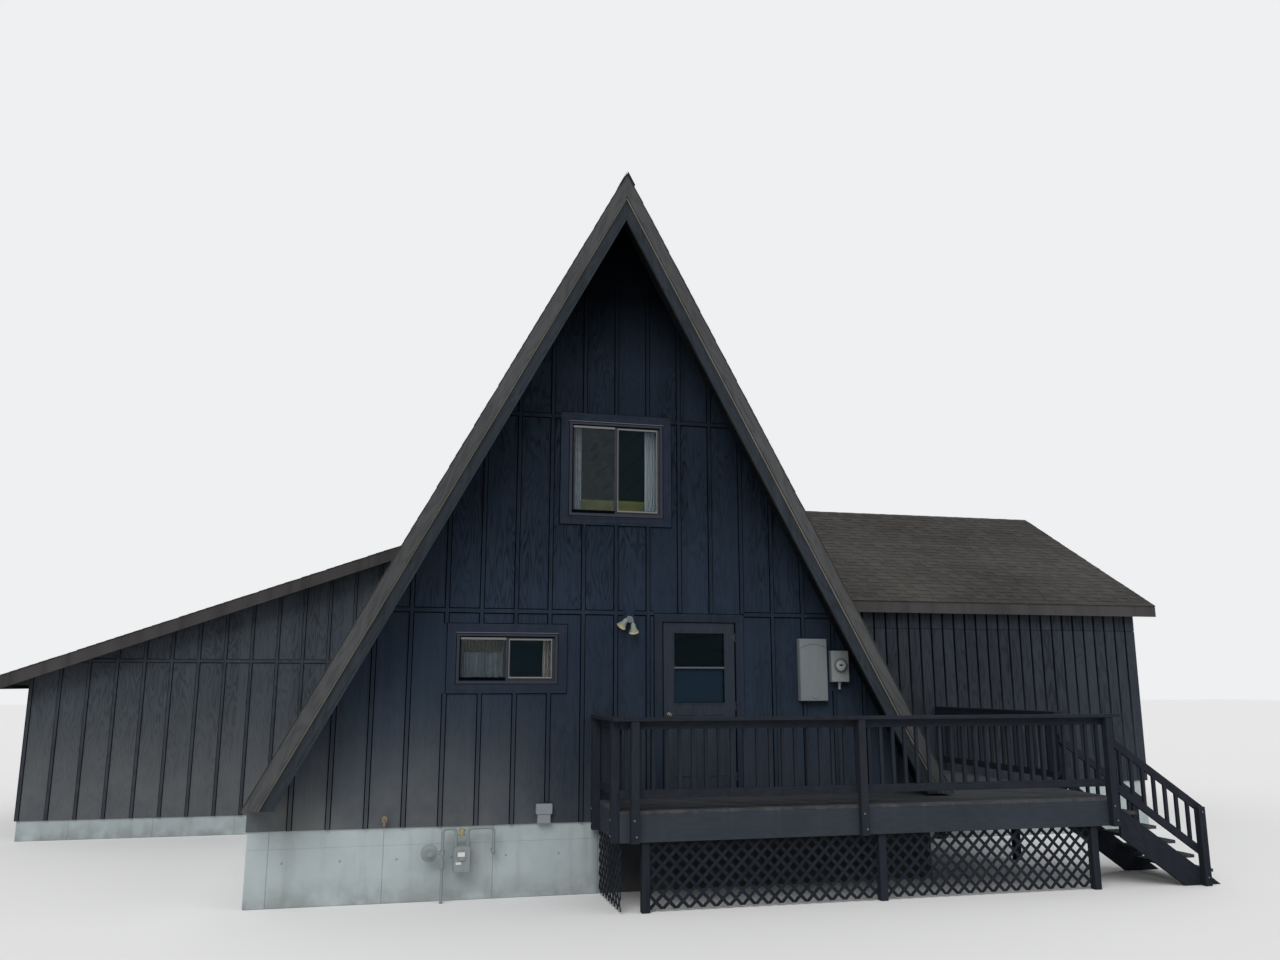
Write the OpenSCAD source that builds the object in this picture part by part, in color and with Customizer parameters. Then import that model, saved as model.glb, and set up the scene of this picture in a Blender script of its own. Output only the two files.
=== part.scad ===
// A-frame cabin on a concrete stem wall, with a lean-to on its left, a low gabled wing on its right,
// and a timber deck with a stair along its front.
// Millimetres. X runs along the front, Y goes back through the house, Z is up.
// The origin is under the middle of the front stem wall, at grade.

/* [Main house] */
// Half of the width of the floor platform
house_half_w = 4105; // [3950:5:4300]
// Distance between the outer faces of the front and back walls
house_l = 11000; // [10800:50:12000]
// Slope of the steep roof above the horizontal, in degrees
roof_angle = 61.9; // [60:0.1:63]
// Thickness of the steep roof, square to its slope
roof_t = 140; // [120:5:170]
// How far the steep roof runs out past the front and back walls
roof_overhang = 500; // [400:10:600]
// Thickness of the framed walls
wall_t = 150; // [130:5:180]
// Height of the stem wall above grade
stem_h = 800; // [700:10:900]
// Thickness of the stem wall
stem_t = 200; // [180:5:240]
// How far the walls stand out past the face of the stem wall
siding_lap = 16; // [10:1:25]
// Depth of the floor platform, joists and boards together
platform_t = 270; // [250:5:290]
// Height of the loft floor above the main floor
loft_rise = 2490; // [2450:10:2560]
// Thickness of the loft floor
loft_t = 190; // [150:5:220]
// Clearance of whatever meets a sloping face of a roof
seat_gap = 0.1; // [0.05:0.05:0.5]

/* [Roof edges] */
// Depth of a barge board, square to the roof
barge_depth = 286; // [240:2:300]
// Thickness of barge, rake and rim boards
board_t = 38; // [30:1:45]
// Depth of the rake board, which lies on the upper half of the barge board
rake_depth = 140; // [100:5:180]
// Width of each side of the ridge cap
cap_w = 180; // [140:5:220]
// Thickness of the ridge cap
cap_t = 12; // [8:1:20]

/* [Windows] */
// Width of every slider window
window_w = 1219; // [1150:1:1250]
// Height of the tall slider in the gable
tall_h = 1219; // [1150:1:1240]
// Height of the low sliders
low_h = 610; // [560:1:640]
// Sill of the tall slider above the main floor
tall_sill = 3345; // [3300:5:3400]
// Sill of the low sliders above the main floor
low_sill = 1305; // [1250:5:1340]
// Middle of the low slider, left of the middle of the front
low_x = -1309; // [-1340:1:-1280]
// Width of a window frame's members
frame_w = 45; // [38:1:55]
// Depth of a window frame
frame_d = 90; // [80:1:110]
// Width of a sash's members
sash_w = 38; // [30:1:45]
// Thickness of a sash
sash_t = 24; // [20:1:28]
// Thickness of a pane
pane_t = 6; // [4:1:10]
// How far a window frame stands out past the siding
frame_proud = 12; // [8:1:16]
// Width of the boards around the windows and the door
casing_w = 100; // [90:1:108]
// Thickness of those boards
casing_t = 19; // [16:1:30]

/* [Door] */
// Middle of the door, right of the middle of the front
door_x = 1060; // [1030:5:1090]
// Width of the door leaf
leaf_w = 914; // [860:1:920]
// Height of the door leaf
leaf_h = 2032; // [2000:1:2040]
// Thickness of the door leaf
leaf_t = 44; // [38:1:50]
// Gap between the leaf and its frame
leaf_gap = 7; // [7:1:9]
// Thickness of the door frame
jamb_t = 30; // [25:1:38]
// How far the door's side casings stand back from the inside of its frame
casing_reveal = 10; // [9:1:14]
// Height of the threshold above the main floor
threshold_h = 20; // [15:1:30]
// Width of the glass in the door
light_w = 640; // [560:5:670]
// Height of the glass in the door
light_h = 840; // [780:5:880]
// Top of the glass below the top of the door
light_drop = 130; // [110:5:170]
// Height of the bar between the door's two panes
light_bar = 34; // [25:1:50]
// Middle of the knob in from the free edge of the door
knob_in = 70; // [60:1:75]
// Middle of the knob above the bottom of the door
knob_rise = 915; // [880:5:1000]
// Radius of the knob
knob_r = 27; // [24:1:30]
// How far the knob stands out from the face of the door
knob_out = 62; // [55:1:70]

/* [Hinges] */
// Radius of a hinge's knuckles
knuckle_r = 7; // [6:0.5:7.5]
// Length of a hinge
hinge_h = 100; // [80:5:120]
// Radius of a hinge's pin
pin_r = 3; // [2.5:0.1:4]
// Clearance between pin and knuckle
pin_gap = 0.05; // [0.02:0.01:0.1]
// Gap between two knuckles
knuckle_gap = 0.3; // [0.2:0.1:0.5]
// Thickness of the hinge leaves
hinge_t = 3; // [2:0.5:4]
// Middle of the end hinges from the ends of the door
hinge_in = 180; // [150:5:220]

/* [Left wing] */
// Outer face of the left wing's side wall, left of the middle
left_x = 8170; // [7900:10:8400]
// Front face of the left wing behind the middle of the front stem wall
left_y = 5884; // [5700:10:6100]
// Distance between the outer faces of the left wing's front and back walls
left_l = 4500; // [4200:50:4600]
// Top of the left wing's slab above grade
left_slab_h = 300; // [250:10:350]
// Height of the left wing's side wall at its outer face
left_wall_h = 2172; // [2100:10:2300]
// Sill of the left wing's window above its slab
left_sill = 1005; // [950:5:1100]
// Slope of the lean-to roof, in degrees
left_angle = 20.3; // [19:0.1:22]

/* [Right wing] */
// Outer face of the right wing's end wall, right of the middle
right_x = 9750; // [9500:10:9900]
// Front face of the right wing behind the middle of the front stem wall
right_y = 2884; // [2800:10:3000]
// Distance between the outer faces of the right wing's front and back walls
right_l = 6700; // [6400:50:6900]
// Height of the right wing's front and back walls above the main floor
right_wall_h = 2550; // [2500:10:2600]
// Slope of the right wing's roof, in degrees
right_angle = 30; // [27:0.5:31]

/* [Wing roofs] */
// Thickness of both wings' roofs, square to their slope
wing_roof_t = 150; // [120:5:170]
// How far both wings' roofs run out past their walls, but for the right wing's eaves
wing_overhang = 320; // [250:10:360]
// How far the right wing's eaves run out past its front and back walls
eave_out = 150; // [130:5:200]
// Depth of the left wing's fascia boards
fascia_depth = 190; // [180:5:220]
// Depth of the right wing's fascia boards
eave_depth = 160; // [155:5:190]
// Thickness of the wings' fascia boards
fascia_t = 25; // [19:1:38]

/* [Deck] */
// Left end of the deck, left of the middle of the front
deck_left = 203; // [150:1:300]
// Right end of the deck, right of the middle of the front
deck_right = 5944; // [5900:1:6100]
// Depth of the deck in front of the house
deck_d = 1194; // [1180:2:1260]
// Height of the deck's floor above grade
deck_h = 1045; // [1020:5:1050]
// Thickness of the deck's floor boards
deck_board_t = 38; // [25:1:38]
// Depth of the deck's rim and joists
rim_h = 286; // [235:1:290]
// Spacing of the deck's joists
joist_pitch = 406; // [380:1:420]
// Width of the posts
post_w = 89; // [80:1:100]
// Gap between the deck's floor and the side of the house
deck_gap = 25; // [15:1:30]
// Middle of the first front post in from the deck's left end
post_in_left = 298; // [200:2:400]
// Middle of the last front post in from the deck's right end
post_in_right = 339; // [200:2:400]
// First post under the side deck, behind the front wall
side_post_y = 900; // [600:10:1200]
// Number of boards in the beam behind the front rim
beam_boards = 2; // [1:1:3]

/* [Railing] */
// Middle of the railing's first post in from the deck's left end
rail_post_in = 153; // [120:1:200]
// Middle of the railing's middle post, right of the middle of the front
rail_post_mid = 2600; // [2500:5:2700]
// How far the corner posts stand back from the deck's corners
rail_post_back = 20; // [10:1:40]
// How far the cap stands out past the posts
cap_lip = 10; // [5:1:20]
// Height of the top of the railing above the deck's floor
rail_h = 980; // [914:2:1070]
// Width of the flat cap on the railing
cap_rail_w = 140; // [140:1:190]
// Height of the rails under the cap
rail_d = 89; // [70:1:100]
// Top of the bottom rail above the deck's floor
bottom_rail_h = 218; // [190:2:240]
// Width of a baluster
baluster_w = 38; // [30:1:45]
// Spacing of the balusters
baluster_pitch = 150; // [130:1:160]

/* [Stair] */
// Width of the stair, over its stringers
stair_w = 1090; // [1000:5:1090]
// Number of risers from grade to the deck's floor
risers = 6; // [6:1:7]
// Going of a tread
tread_run = 250; // [235:5:265]
// Depth of a tread, front to back
tread_d = 280; // [270:5:290]
// Top of the handrail above the nosings
stair_rail_h = 690; // [650:10:760]
// Underside of the stair's low rail above the nosings
stair_low_rail = 60; // [40:5:120]
// How far the stringers' edge stands above the treads' front edges
stringer_lift = 60; // [30:5:90]
// Distance of the newels in from the end of the lowest tread
newel_setback = 200; // [150:10:260]
// How far the handrails run past their newels
handrail_end = 40; // [20:5:80]

/* [Lattice] */
// Width of a diamond of the lattice
diamond_w = 150; // [140:1:190]
// Width of a lath
lath_w = 36; // [28:1:42]
// Thickness of a lath
lath_t = 6; // [5:1:10]
// Gap between the lattice and grade
skirt_gap = 25; // [15:5:60]

/* [Fixtures on the front] */
// Middle of the flood lamps, right of the middle of the front
lamp_x = 165; // [145:5:185]
// Middle of the flood lamps' box above the main floor
lamp_rise = 2085; // [2060:5:2110]
// Radius of the mouth of a flood lamp
lamp_r = 62; // [54:1:66]
// Length of a flood lamp's bell
lamp_l = 115; // [100:1:130]
// Width of the electric panel
panel_w = 368; // [350:2:380]
// Height of the electric panel
panel_h = 773; // [740:1:790]
// Depth of the electric panel without its cover
panel_d = 88; // [80:2:110]
// Underside of the electric panel above the main floor
panel_rise = 1102; // [1080:2:1130]
// Width of the meter's socket box
socket_w = 235; // [220:5:245]
// Height of the meter's socket box
socket_h = 392; // [360:2:400]
// Depth of the meter's socket box
socket_d = 88; // [80:2:110]
// Underside of the socket box above the main floor
socket_rise = 1336; // [1310:2:1360]
// Gap between the top corner of the socket box and the inner face of the steep roof
socket_gap = 8; // [6:1:20]
// Gap between the electric panel and the socket box
panel_gap = 60; // [40:2:70]
// Middle of the round meter above the underside of the socket box
ring_rise = 210; // [195:5:225]
// Radius of the ring that holds the round meter
ring_r = 88; // [80:1:95]
// Radius of the electric conduit
conduit_r = 17; // [14:1:20]
// Middle of the utility box, left of the middle of the front
utility_x = -832; // [-860:2:-800]
// Width of the utility box
utility_w = 175; // [160:1:190]
// Height of the utility box
utility_h = 225; // [200:5:250]
// Depth of the utility box without its cover
utility_d = 70; // [60:2:90]
// Thickness of the boxes' covers
cover_t = 12; // [8:1:16]
// Middle of the hose tap, left of the middle of the front
tap_x = -2640; // [-2700:5:-2600]
// Height of the hose tap above the foot of the siding
tap_rise = 80; // [60:5:120]

/* [Gas meter] */
// Middle of the gas riser, left of the middle of the front
gas_x = -1996; // [-2030:2:-1960]
// Middle of the gas pipes in front of the siding
gas_out = 130; // [110:5:150]
// Radius of the gas pipes
gas_pipe_r = 17; // [14:1:20]
// Height of the upper gas pipes above grade
gas_top = 790; // [760:5:820]
// Width of the gas meter's body
gas_w = 205; // [190:5:220]
// Height of the gas meter's body
gas_h = 290; // [270:5:310]
// Depth of the gas meter's body
gas_d = 150; // [130:5:170]
// Underside of the gas meter's body above grade
gas_rise = 320; // [280:5:360]
// Gap between the riser's middle and the side of the body
gas_reach = 111; // [95:1:130]
// Gap between the body's other side and the pipe that goes through the wall
gas_loop = 251; // [220:1:280]
// How far in from the body's sides its pipes stand
gas_port_in = 35; // [30:1:45]
// Height above grade of the pipe that goes through the wall
gas_wall_z = 530; // [510:5:560]
// Radius of the bends in the gas pipes
gas_bend_r = 45; // [38:1:55]
// Radius of the regulator's flange
regulator_r = 95; // [85:1:100]
// Middle of the regulator, left of the riser
regulator_out = 141; // [125:1:160]
// Height of the regulator above grade
regulator_z = 533; // [510:1:560]
// Height of the shut-off valve above grade
valve_z = 390; // [370:5:410]

/* [Hidden] */
$fn = 48;

// Main house, derived
platform_z = stem_h + platform_t;
siding_y = -stem_t / 2 - siding_lap;
wall_in_y = siding_y + wall_t;
back_y = siding_y + house_l;
ridge_z = platform_z + house_half_w * tan(roof_angle);
loft_z = platform_z + loft_rise;
roof_side_t = roof_t / sin(roof_angle);
rake_y = siding_y - roof_overhang;
jamb_out = leaf_w / 2 + leaf_gap + jamb_t;
door_sill_z = platform_z + threshold_h;
leaf_z = door_sill_z + leaf_gap;
door_head_z = leaf_z + leaf_h + leaf_gap;
split_z = door_head_z + jamb_t;
seat_peak_z = ridge_z - (roof_side_t + seat_gap) * tan(roof_angle);
// Half width at a height: of the roof's outer face, its inner face, and of walls and floors seated in it
function roof_x(z) = (ridge_z - z) / tan(roof_angle);
function room_x(z) = roof_x(z) - roof_side_t;
function seat_x(z) = room_x(z) - seat_gap;
// Height on the middle line of a face that lies a depth below the roof's outer face
function peak_z(depth) = ridge_z - depth / cos(roof_angle);

// Door, derived: its outer face is level with the face of the siding, and it swings out
leaf_in_y = siding_y + leaf_t;
light_top_z = leaf_z + leaf_h - light_drop;
pane_h = (light_h - light_bar) / 2;
pane_tops = [light_top_z, light_top_z - pane_h - light_bar];
// The hinges' axis stands in front of the siding, over the gap between leaf and jamb
hinge_x = door_x + leaf_w / 2 + leaf_gap / 2;
hinge_y = siding_y - knuckle_r;
knuckle_h = (hinge_h - 2 * knuckle_gap) / 3;
hinge_zs = [for (rise = [hinge_in, leaf_h / 2, leaf_h - hinge_in]) leaf_z + rise - hinge_h / 2];

// Left wing, derived
left_plate_z = left_slab_h + left_wall_h;
left_back_y = left_y + left_l;
left_sill_z = left_slab_h + left_sill;
// Where the lean-to's underside meets the steep roof: height and distance left of the middle
left_join_z = (left_plate_z + (left_x - ridge_z / tan(roof_angle)) * tan(left_angle))
              / (1 - tan(left_angle) / tan(roof_angle));
left_join_x = roof_x(left_join_z);

// Right wing, derived
right_back_y = right_y + right_l;
right_plate_z = platform_z + right_wall_h;
right_mid_y = right_y + right_l / 2;
right_peak_z = right_plate_z + right_l / 2 * tan(right_angle);

// Deck, derived
deck_front_y = siding_y - deck_d;
rim_top_z = deck_h - deck_board_t;
rim_bottom_z = rim_top_z - rim_h;
cap_z = deck_h + rail_h - board_t;
side_deck_x = house_half_w + deck_gap;
stair_back_y = deck_front_y + stair_w;
riser_h = deck_h / risers;
stair_angle = atan(riser_h / tread_run);
stair_l = (risers - 1) * tread_run;
front_post_xs = [post_in_left - deck_left, (post_in_left - deck_left + deck_right - post_in_right) / 2,
                 deck_right - post_in_right];
rail_post_xs = [rail_post_in - deck_left, rail_post_mid, deck_right - rail_post_back - post_w];

// Fixtures, derived
socket_z = platform_z + socket_rise;
socket_x = room_x(socket_z + socket_h) - socket_gap - socket_w;
panel_x = socket_x - panel_gap - panel_w;
gas_y = siding_y - gas_out;
gas_body_x = gas_x + gas_reach;
gas_in_x = gas_body_x + gas_port_in;
gas_out_x = gas_body_x + gas_w - gas_port_in;
gas_wall_x = gas_body_x + gas_w + gas_loop;

// Solid between two values of Y, with its outline in X and Z
module along_y(y0, y1) {
    translate([0, y1, 0]) rotate([90, 0, 0]) linear_extrude(y1 - y0) children();
}

// Solid between two values of X, with its outline in Y and Z
module along_x(x0, x1) {
    translate([x0, 0, 0]) rotate([90, 0, 90]) linear_extrude(x1 - x0) children();
}

// Box between two corners
module block(low, high) {
    translate(low) cube(high - low);
}

// Plate in X and Z with rounded corners, between two values of Y
module plate_y(x0, x1, z0, z1, r, y0, y1) {
    along_y(y0, y1) {
        translate([x0 + r, z0]) square([x1 - x0 - 2 * r, z1 - z0]);
        translate([x0, z0 + r]) square([x1 - x0, z1 - z0 - 2 * r]);
        for (x = [x0 + r, x1 - r], z = [z0 + r, z1 - r]) translate([x, z]) circle(r = r);
    }
}

// Box in a wall that faces the front, for a window's or a door's opening
module hole_y(x0, x1, z0, z1, y0, y1) {
    block([x0, y0 - 1, z0], [x1, y1 + 1, z1]);
}

// Everything inside the outer faces of the steep roof, as a prism, with the clearance of what meets it
module house_prism() {
    y0 = rake_y - 2 * board_t;
    y1 = back_y + roof_overhang + 2 * board_t;
    edge = house_half_w + seat_gap;
    peak_z = ridge_z + seat_gap * tan(roof_angle);
    along_y(y0, y1) polygon([[-edge, 0], [edge, 0], [edge, platform_z], [0, peak_z], [-edge, platform_z]]);
}

// Stem wall round a rectangle, open at the top and below
module ring_wall(low, high) {
    difference() {
        block(low, high);
        block(low + [stem_t, stem_t, -1], high - [stem_t, stem_t, -1]);
    }
}

// Stem wall under the house
module foundation() {
    edge = house_half_w - siding_lap;
    color("#b9b8b0") ring_wall([-edge, siding_y + siding_lap, 0], [edge, back_y - siding_lap, stem_h]);
}

// Slab on grade under the left wing
module left_wing_slab() {
    color("#b3b2aa") block([-left_x + siding_lap, left_y + siding_lap, 0],
                           [siding_lap - house_half_w, left_back_y - siding_lap, left_slab_h]);
}

// Stem wall under the right wing
module right_wing_foundation() {
    color("#b3b2aa") ring_wall([house_half_w - siding_lap, right_y + siding_lap, 0],
                               [right_x - siding_lap, right_back_y - siding_lap, stem_h]);
}

module main_floor() {
    color("#4a3d33") block([-house_half_w, siding_y, stem_h], [house_half_w, back_y, platform_z]);
}

module loft_floor() {
    low_z = loft_z - loft_t;
    color("#8a6a45") along_y(wall_in_y, back_y - wall_t)
        polygon([[-seat_x(low_z), low_z], [seat_x(low_z), low_z], [seat_x(loft_z), loft_z],
                 [-seat_x(loft_z), loft_z]]);
}

// Floor of the right wing, level with the main floor
module right_wing_floor() {
    color("#4a3d33") block([house_half_w, right_y, stem_h], [right_x, right_back_y, platform_z]);
}

module front_wall_left() {
    edge = door_x - jamb_out;
    color("#363c46") difference() {
        along_y(siding_y, wall_in_y)
            polygon([[-seat_x(platform_z), platform_z], [edge, platform_z], [edge, split_z],
                     [-seat_x(split_z), split_z]]);
        low_hole(siding_y, wall_in_y);
    }
}

module front_wall_right() {
    edge = door_x + jamb_out;
    color("#363c46") along_y(siding_y, wall_in_y)
        polygon([[edge, platform_z], [seat_x(platform_z), platform_z], [seat_x(split_z), split_z],
                 [edge, split_z]]);
}

module front_wall_upper() {
    color("#363c46") difference() {
        along_y(siding_y, wall_in_y)
            polygon([[-seat_x(split_z), split_z], [seat_x(split_z), split_z], [0, seat_peak_z]]);
        tall_hole(siding_y, wall_in_y);
    }
}

module back_wall() {
    color("#363c46") difference() {
        along_y(back_y - wall_t, back_y)
            polygon([[-seat_x(platform_z), platform_z], [seat_x(platform_z), platform_z], [0, seat_peak_z]]);
        tall_hole(back_y - wall_t, back_y);
        low_hole(back_y - wall_t, back_y);
    }
}

module tall_hole(y0, y1) {
    z = platform_z + tall_sill;
    hole_y(-window_w / 2, window_w / 2, z, z + tall_h, y0, y1);
}

module low_hole(y0, y1) {
    z = platform_z + low_sill;
    hole_y(low_x - window_w / 2, low_x + window_w / 2, z, z + low_h, y0, y1);
}

// One slope of the steep roof, from a depth below its outer face to another, on the right
module slope_band(depth0, depth1) {
    foot0 = house_half_w - depth0 / sin(roof_angle);
    foot1 = house_half_w - depth1 / sin(roof_angle);
    polygon([[0, peak_z(depth0)], [0, peak_z(depth1)], [foot1, platform_z], [foot0, platform_z]]);
}

module roof_slab() {
    color("#3b3a3a") along_y(rake_y, back_y + roof_overhang) slope_band(0, roof_t);
}

module roof_right() roof_slab();

module roof_left() mirror([1, 0, 0]) roof_slab();

// Folded cap over the ridge
module ridge_cap() {
    run = cap_w * cos(roof_angle);
    drop = cap_w * sin(roof_angle);
    lift = cap_t / cos(roof_angle);
    top = ridge_z + seat_gap * tan(roof_angle);
    color("#333333") along_y(rake_y, back_y + roof_overhang)
        polygon([[0, top], [run, top - drop], [run, top - drop + lift], [0, top + lift],
                 [-run, top - drop + lift], [-run, top - drop]]);
}

module barge(y0) {
    color("#3f444b") along_y(y0, y0 + board_t) slope_band(0, barge_depth);
}

module rake_board() {
    color("#6b6660") along_y(rake_y - 2 * board_t, rake_y - board_t) slope_band(0, rake_depth);
}

module front_barge_right() barge(rake_y - board_t);

module front_barge_left() mirror([1, 0, 0]) barge(rake_y - board_t);

module back_barge_right() barge(back_y + roof_overhang);

module back_barge_left() mirror([1, 0, 0]) barge(back_y + roof_overhang);

module rake_board_right() rake_board();

module rake_board_left() mirror([1, 0, 0]) rake_board();

// Rectangular frame in X and Z with members of one width, between two values of Y
module frame_y(x0, x1, z0, z1, w, y0, y1) {
    difference() {
        block([x0, y0, z0], [x1, y1, z1]);
        hole_y(x0 + w, x1 - w, z0 + w, z1 - w, y0, y1);
    }
}

// Outer frame of a slider whose middle is at x and whose sill is at z
module slider_frame(x, z, h, y0) {
    frame_y(x - window_w / 2, x + window_w / 2, z, z + h, frame_w, y0, y0 + frame_d);
}

// The two sashes of a slider, the right one in front; they meet on the middle line
module slider_sashes(x, z, h, y0) {
    left = x - window_w / 2 + frame_w;
    right = x + window_w / 2 - frame_w;
    low = z + frame_w;
    high = z + h - frame_w;
    front = y0 + frame_d / 2 - sash_t;
    frame_y(x - sash_w / 2, right, low, high, sash_w, front, front + sash_t);
    frame_y(left, x + sash_w / 2, low, high, sash_w, front + sash_t, front + 2 * sash_t);
}

module slider_glass(x, z, h, y0) {
    left = x - window_w / 2 + frame_w + sash_w;
    right = x + window_w / 2 - frame_w - sash_w;
    low = z + frame_w + sash_w;
    high = z + h - frame_w - sash_w;
    front = y0 + frame_d / 2 - sash_t / 2 - pane_t / 2;
    block([x + sash_w / 2, front, low], [right, front + pane_t, high]);
    block([left, front + sash_t, low], [x - sash_w / 2, front + sash_t + pane_t, high]);
}

module front_window_frames() {
    color("#5b5148") {
        slider_frame(0, platform_z + tall_sill, tall_h, siding_y - frame_proud);
        slider_frame(low_x, platform_z + low_sill, low_h, siding_y - frame_proud);
    }
}

module front_window_sashes() {
    color("#4d443d") {
        slider_sashes(0, platform_z + tall_sill, tall_h, siding_y - frame_proud);
        slider_sashes(low_x, platform_z + low_sill, low_h, siding_y - frame_proud);
    }
}

module front_window_glass() {
    color("#8fa3ad", 0.4) {
        slider_glass(0, platform_z + tall_sill, tall_h, siding_y - frame_proud);
        slider_glass(low_x, platform_z + low_sill, low_h, siding_y - frame_proud);
    }
}

// Boards round an opening, on the siding
module casing(x0, x1, z0, z1) {
    difference() {
        block([x0 - casing_w, siding_y - casing_t, z0 - casing_w], [x1 + casing_w, siding_y, z1 + casing_w]);
        hole_y(x0, x1, z0, z1, siding_y - casing_t, siding_y);
    }
}

// Boards round the two front windows
module window_casings() {
    tall_z = platform_z + tall_sill;
    low_z = platform_z + low_sill;
    color("#3d434d") {
        casing(-window_w / 2, window_w / 2, tall_z, tall_z + tall_h);
        casing(low_x - window_w / 2, low_x + window_w / 2, low_z, low_z + low_h);
    }
}

// Boards on both sides of the door and over it
module door_casing() {
    edge = leaf_w / 2 + leaf_gap + casing_reveal;
    color("#3d434d") difference() {
        block([door_x - edge - casing_w, siding_y - casing_t, platform_z],
              [door_x + edge + casing_w, siding_y, door_head_z + casing_w]);
        hole_y(door_x - edge, door_x + edge, platform_z - 1, door_head_z, siding_y - casing_t, siding_y);
    }
}

// Turns a slider that faces the front so that it faces back, at the back wall
module at_back() {
    translate([0, 2 * siding_y + house_l, 0]) mirror([0, 1, 0]) children();
}

// Turns a slider that faces the front so that it faces right, in the right wing's end wall
module at_right_end() {
    translate([right_x + siding_y, right_mid_y, 0]) rotate([0, 0, 90]) children();
}

// Turns a slider that faces the front so that it faces left, in the left wing's side wall
module at_left_side() {
    translate([-left_x - siding_y, left_y + left_l / 2, 0]) rotate([0, 0, -90]) children();
}

module other_window_frames() {
    color("#5b5148") {
        at_back() slider_frame(0, platform_z + tall_sill, tall_h, siding_y - frame_proud);
        at_back() slider_frame(low_x, platform_z + low_sill, low_h, siding_y - frame_proud);
        at_right_end() slider_frame(0, platform_z + low_sill, low_h, siding_y - frame_proud);
        at_left_side() slider_frame(0, left_sill_z, low_h, siding_y - frame_proud);
    }
    color("#4d443d") {
        at_back() slider_sashes(0, platform_z + tall_sill, tall_h, siding_y - frame_proud);
        at_back() slider_sashes(low_x, platform_z + low_sill, low_h, siding_y - frame_proud);
        at_right_end() slider_sashes(0, platform_z + low_sill, low_h, siding_y - frame_proud);
        at_left_side() slider_sashes(0, left_sill_z, low_h, siding_y - frame_proud);
    }
}

module other_window_glass() {
    color("#8fa3ad", 0.4) {
        at_back() slider_glass(0, platform_z + tall_sill, tall_h, siding_y - frame_proud);
        at_back() slider_glass(low_x, platform_z + low_sill, low_h, siding_y - frame_proud);
        at_right_end() slider_glass(0, platform_z + low_sill, low_h, siding_y - frame_proud);
        at_left_side() slider_glass(0, left_sill_z, low_h, siding_y - frame_proud);
    }
}

// Jambs, head and threshold, through the whole wall
module door_frame() {
    edge = leaf_w / 2 + leaf_gap;
    color("#3d434d") difference() {
        block([door_x - jamb_out, siding_y, platform_z], [door_x + jamb_out, wall_in_y, split_z]);
        hole_y(door_x - edge, door_x + edge, door_sill_z, door_head_z, siding_y, wall_in_y);
    }
}

module door() {
    color("#3a4049") difference() {
        block([door_x - leaf_w / 2, siding_y, leaf_z], [door_x + leaf_w / 2, leaf_in_y, leaf_z + leaf_h]);
        for (top = pane_tops)
            hole_y(door_x - light_w / 2, door_x + light_w / 2, top - pane_h, top, siding_y, leaf_in_y);
    }
}

module door_glass() {
    mid = siding_y + leaf_t / 2;
    color("#20262c", 0.5) for (top = pane_tops)
        block([door_x - light_w / 2, mid - pane_t / 2, top - pane_h],
              [door_x + light_w / 2, mid + pane_t / 2, top]);
}

// Turned knob on each face, on its rose
module door_knob() {
    neck_r = 0.4 * knob_r;
    rose_r = 1.2 * knob_r;
    color("#8a8378") for (side = [-1, 1])
        translate([door_x - leaf_w / 2 + knob_in, siding_y + leaf_t / 2, leaf_z + knob_rise])
            rotate([side * 90, 0, 0]) translate([0, 0, leaf_t / 2]) rotate_extrude()
                polygon([[0, 0], [rose_r, 0], [rose_r, 4], [0.8 * rose_r, 8], [neck_r, 11],
                         [neck_r, 0.45 * knob_out], [0.85 * knob_r, 0.6 * knob_out],
                         [knob_r, 0.75 * knob_out],
                         [0.85 * knob_r, 0.92 * knob_out], [0.5 * knob_r, knob_out], [0, knob_out]]);
}

// Fixed half of each hinge: outer knuckles, pin and the leaf on the jamb, up to the casing
module door_hinges() {
    side_gap = 1;
    color("#6f6a62") for (z = hinge_zs) translate([hinge_x, hinge_y, z]) {
        cylinder(r = knuckle_r, h = knuckle_h);
        translate([0, 0, hinge_h - knuckle_h]) cylinder(r = knuckle_r, h = knuckle_h);
        cylinder(r = pin_r, h = hinge_h);
        for (low = [0, hinge_h - knuckle_h])
            block([0, knuckle_r - hinge_t, low],
                  [leaf_gap / 2 + casing_reveal - side_gap, knuckle_r, low + knuckle_h]);
    }
}

// Moving half of each hinge: the middle knuckle and the leaf on the door
module door_knuckles() {
    low = knuckle_h + knuckle_gap;
    color("#6f6a62") for (z = hinge_zs) translate([hinge_x, hinge_y, z]) difference() {
        union() {
            translate([0, 0, low]) cylinder(r = knuckle_r, h = knuckle_h);
            block([-jamb_t, knuckle_r - hinge_t, low], [0, knuckle_r, low + knuckle_h]);
        }
        translate([0, 0, low - 1]) cylinder(r = pin_r + pin_gap, h = knuckle_h + 2);
    }
}

// Left wing's front wall, up to the underside of the lean-to roof and against the house
module left_wall_outline() {
    edge = house_half_w + seat_gap;
    polygon([[-left_x, left_slab_h], [-edge, left_slab_h], [-edge, platform_z],
             [-left_join_x - seat_gap, left_join_z - seat_gap], [-left_x, left_plate_z - seat_gap]]);
}

module left_wing_front_wall() {
    color("#4e4a48") along_y(left_y, left_y + wall_t) left_wall_outline();
}

module left_wing_side_wall() {
    top = left_plate_z - seat_gap;
    color("#4e4a48") difference() {
        along_y(left_y + wall_t, left_back_y - wall_t)
            polygon([[-left_x, left_slab_h], [-left_x + wall_t, left_slab_h],
                     [-left_x + wall_t, top + wall_t * tan(left_angle)], [-left_x, top]]);
        at_left_side()
            hole_y(-window_w / 2, window_w / 2, left_sill_z, left_sill_z + low_h, siding_y, wall_in_y);
    }
}

// Back walls of both wings
module wing_back_walls() {
    color("#4e4a48") along_y(left_back_y - wall_t, left_back_y) left_wall_outline();
    at_right_back() right_wing_front_wall();
}

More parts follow.
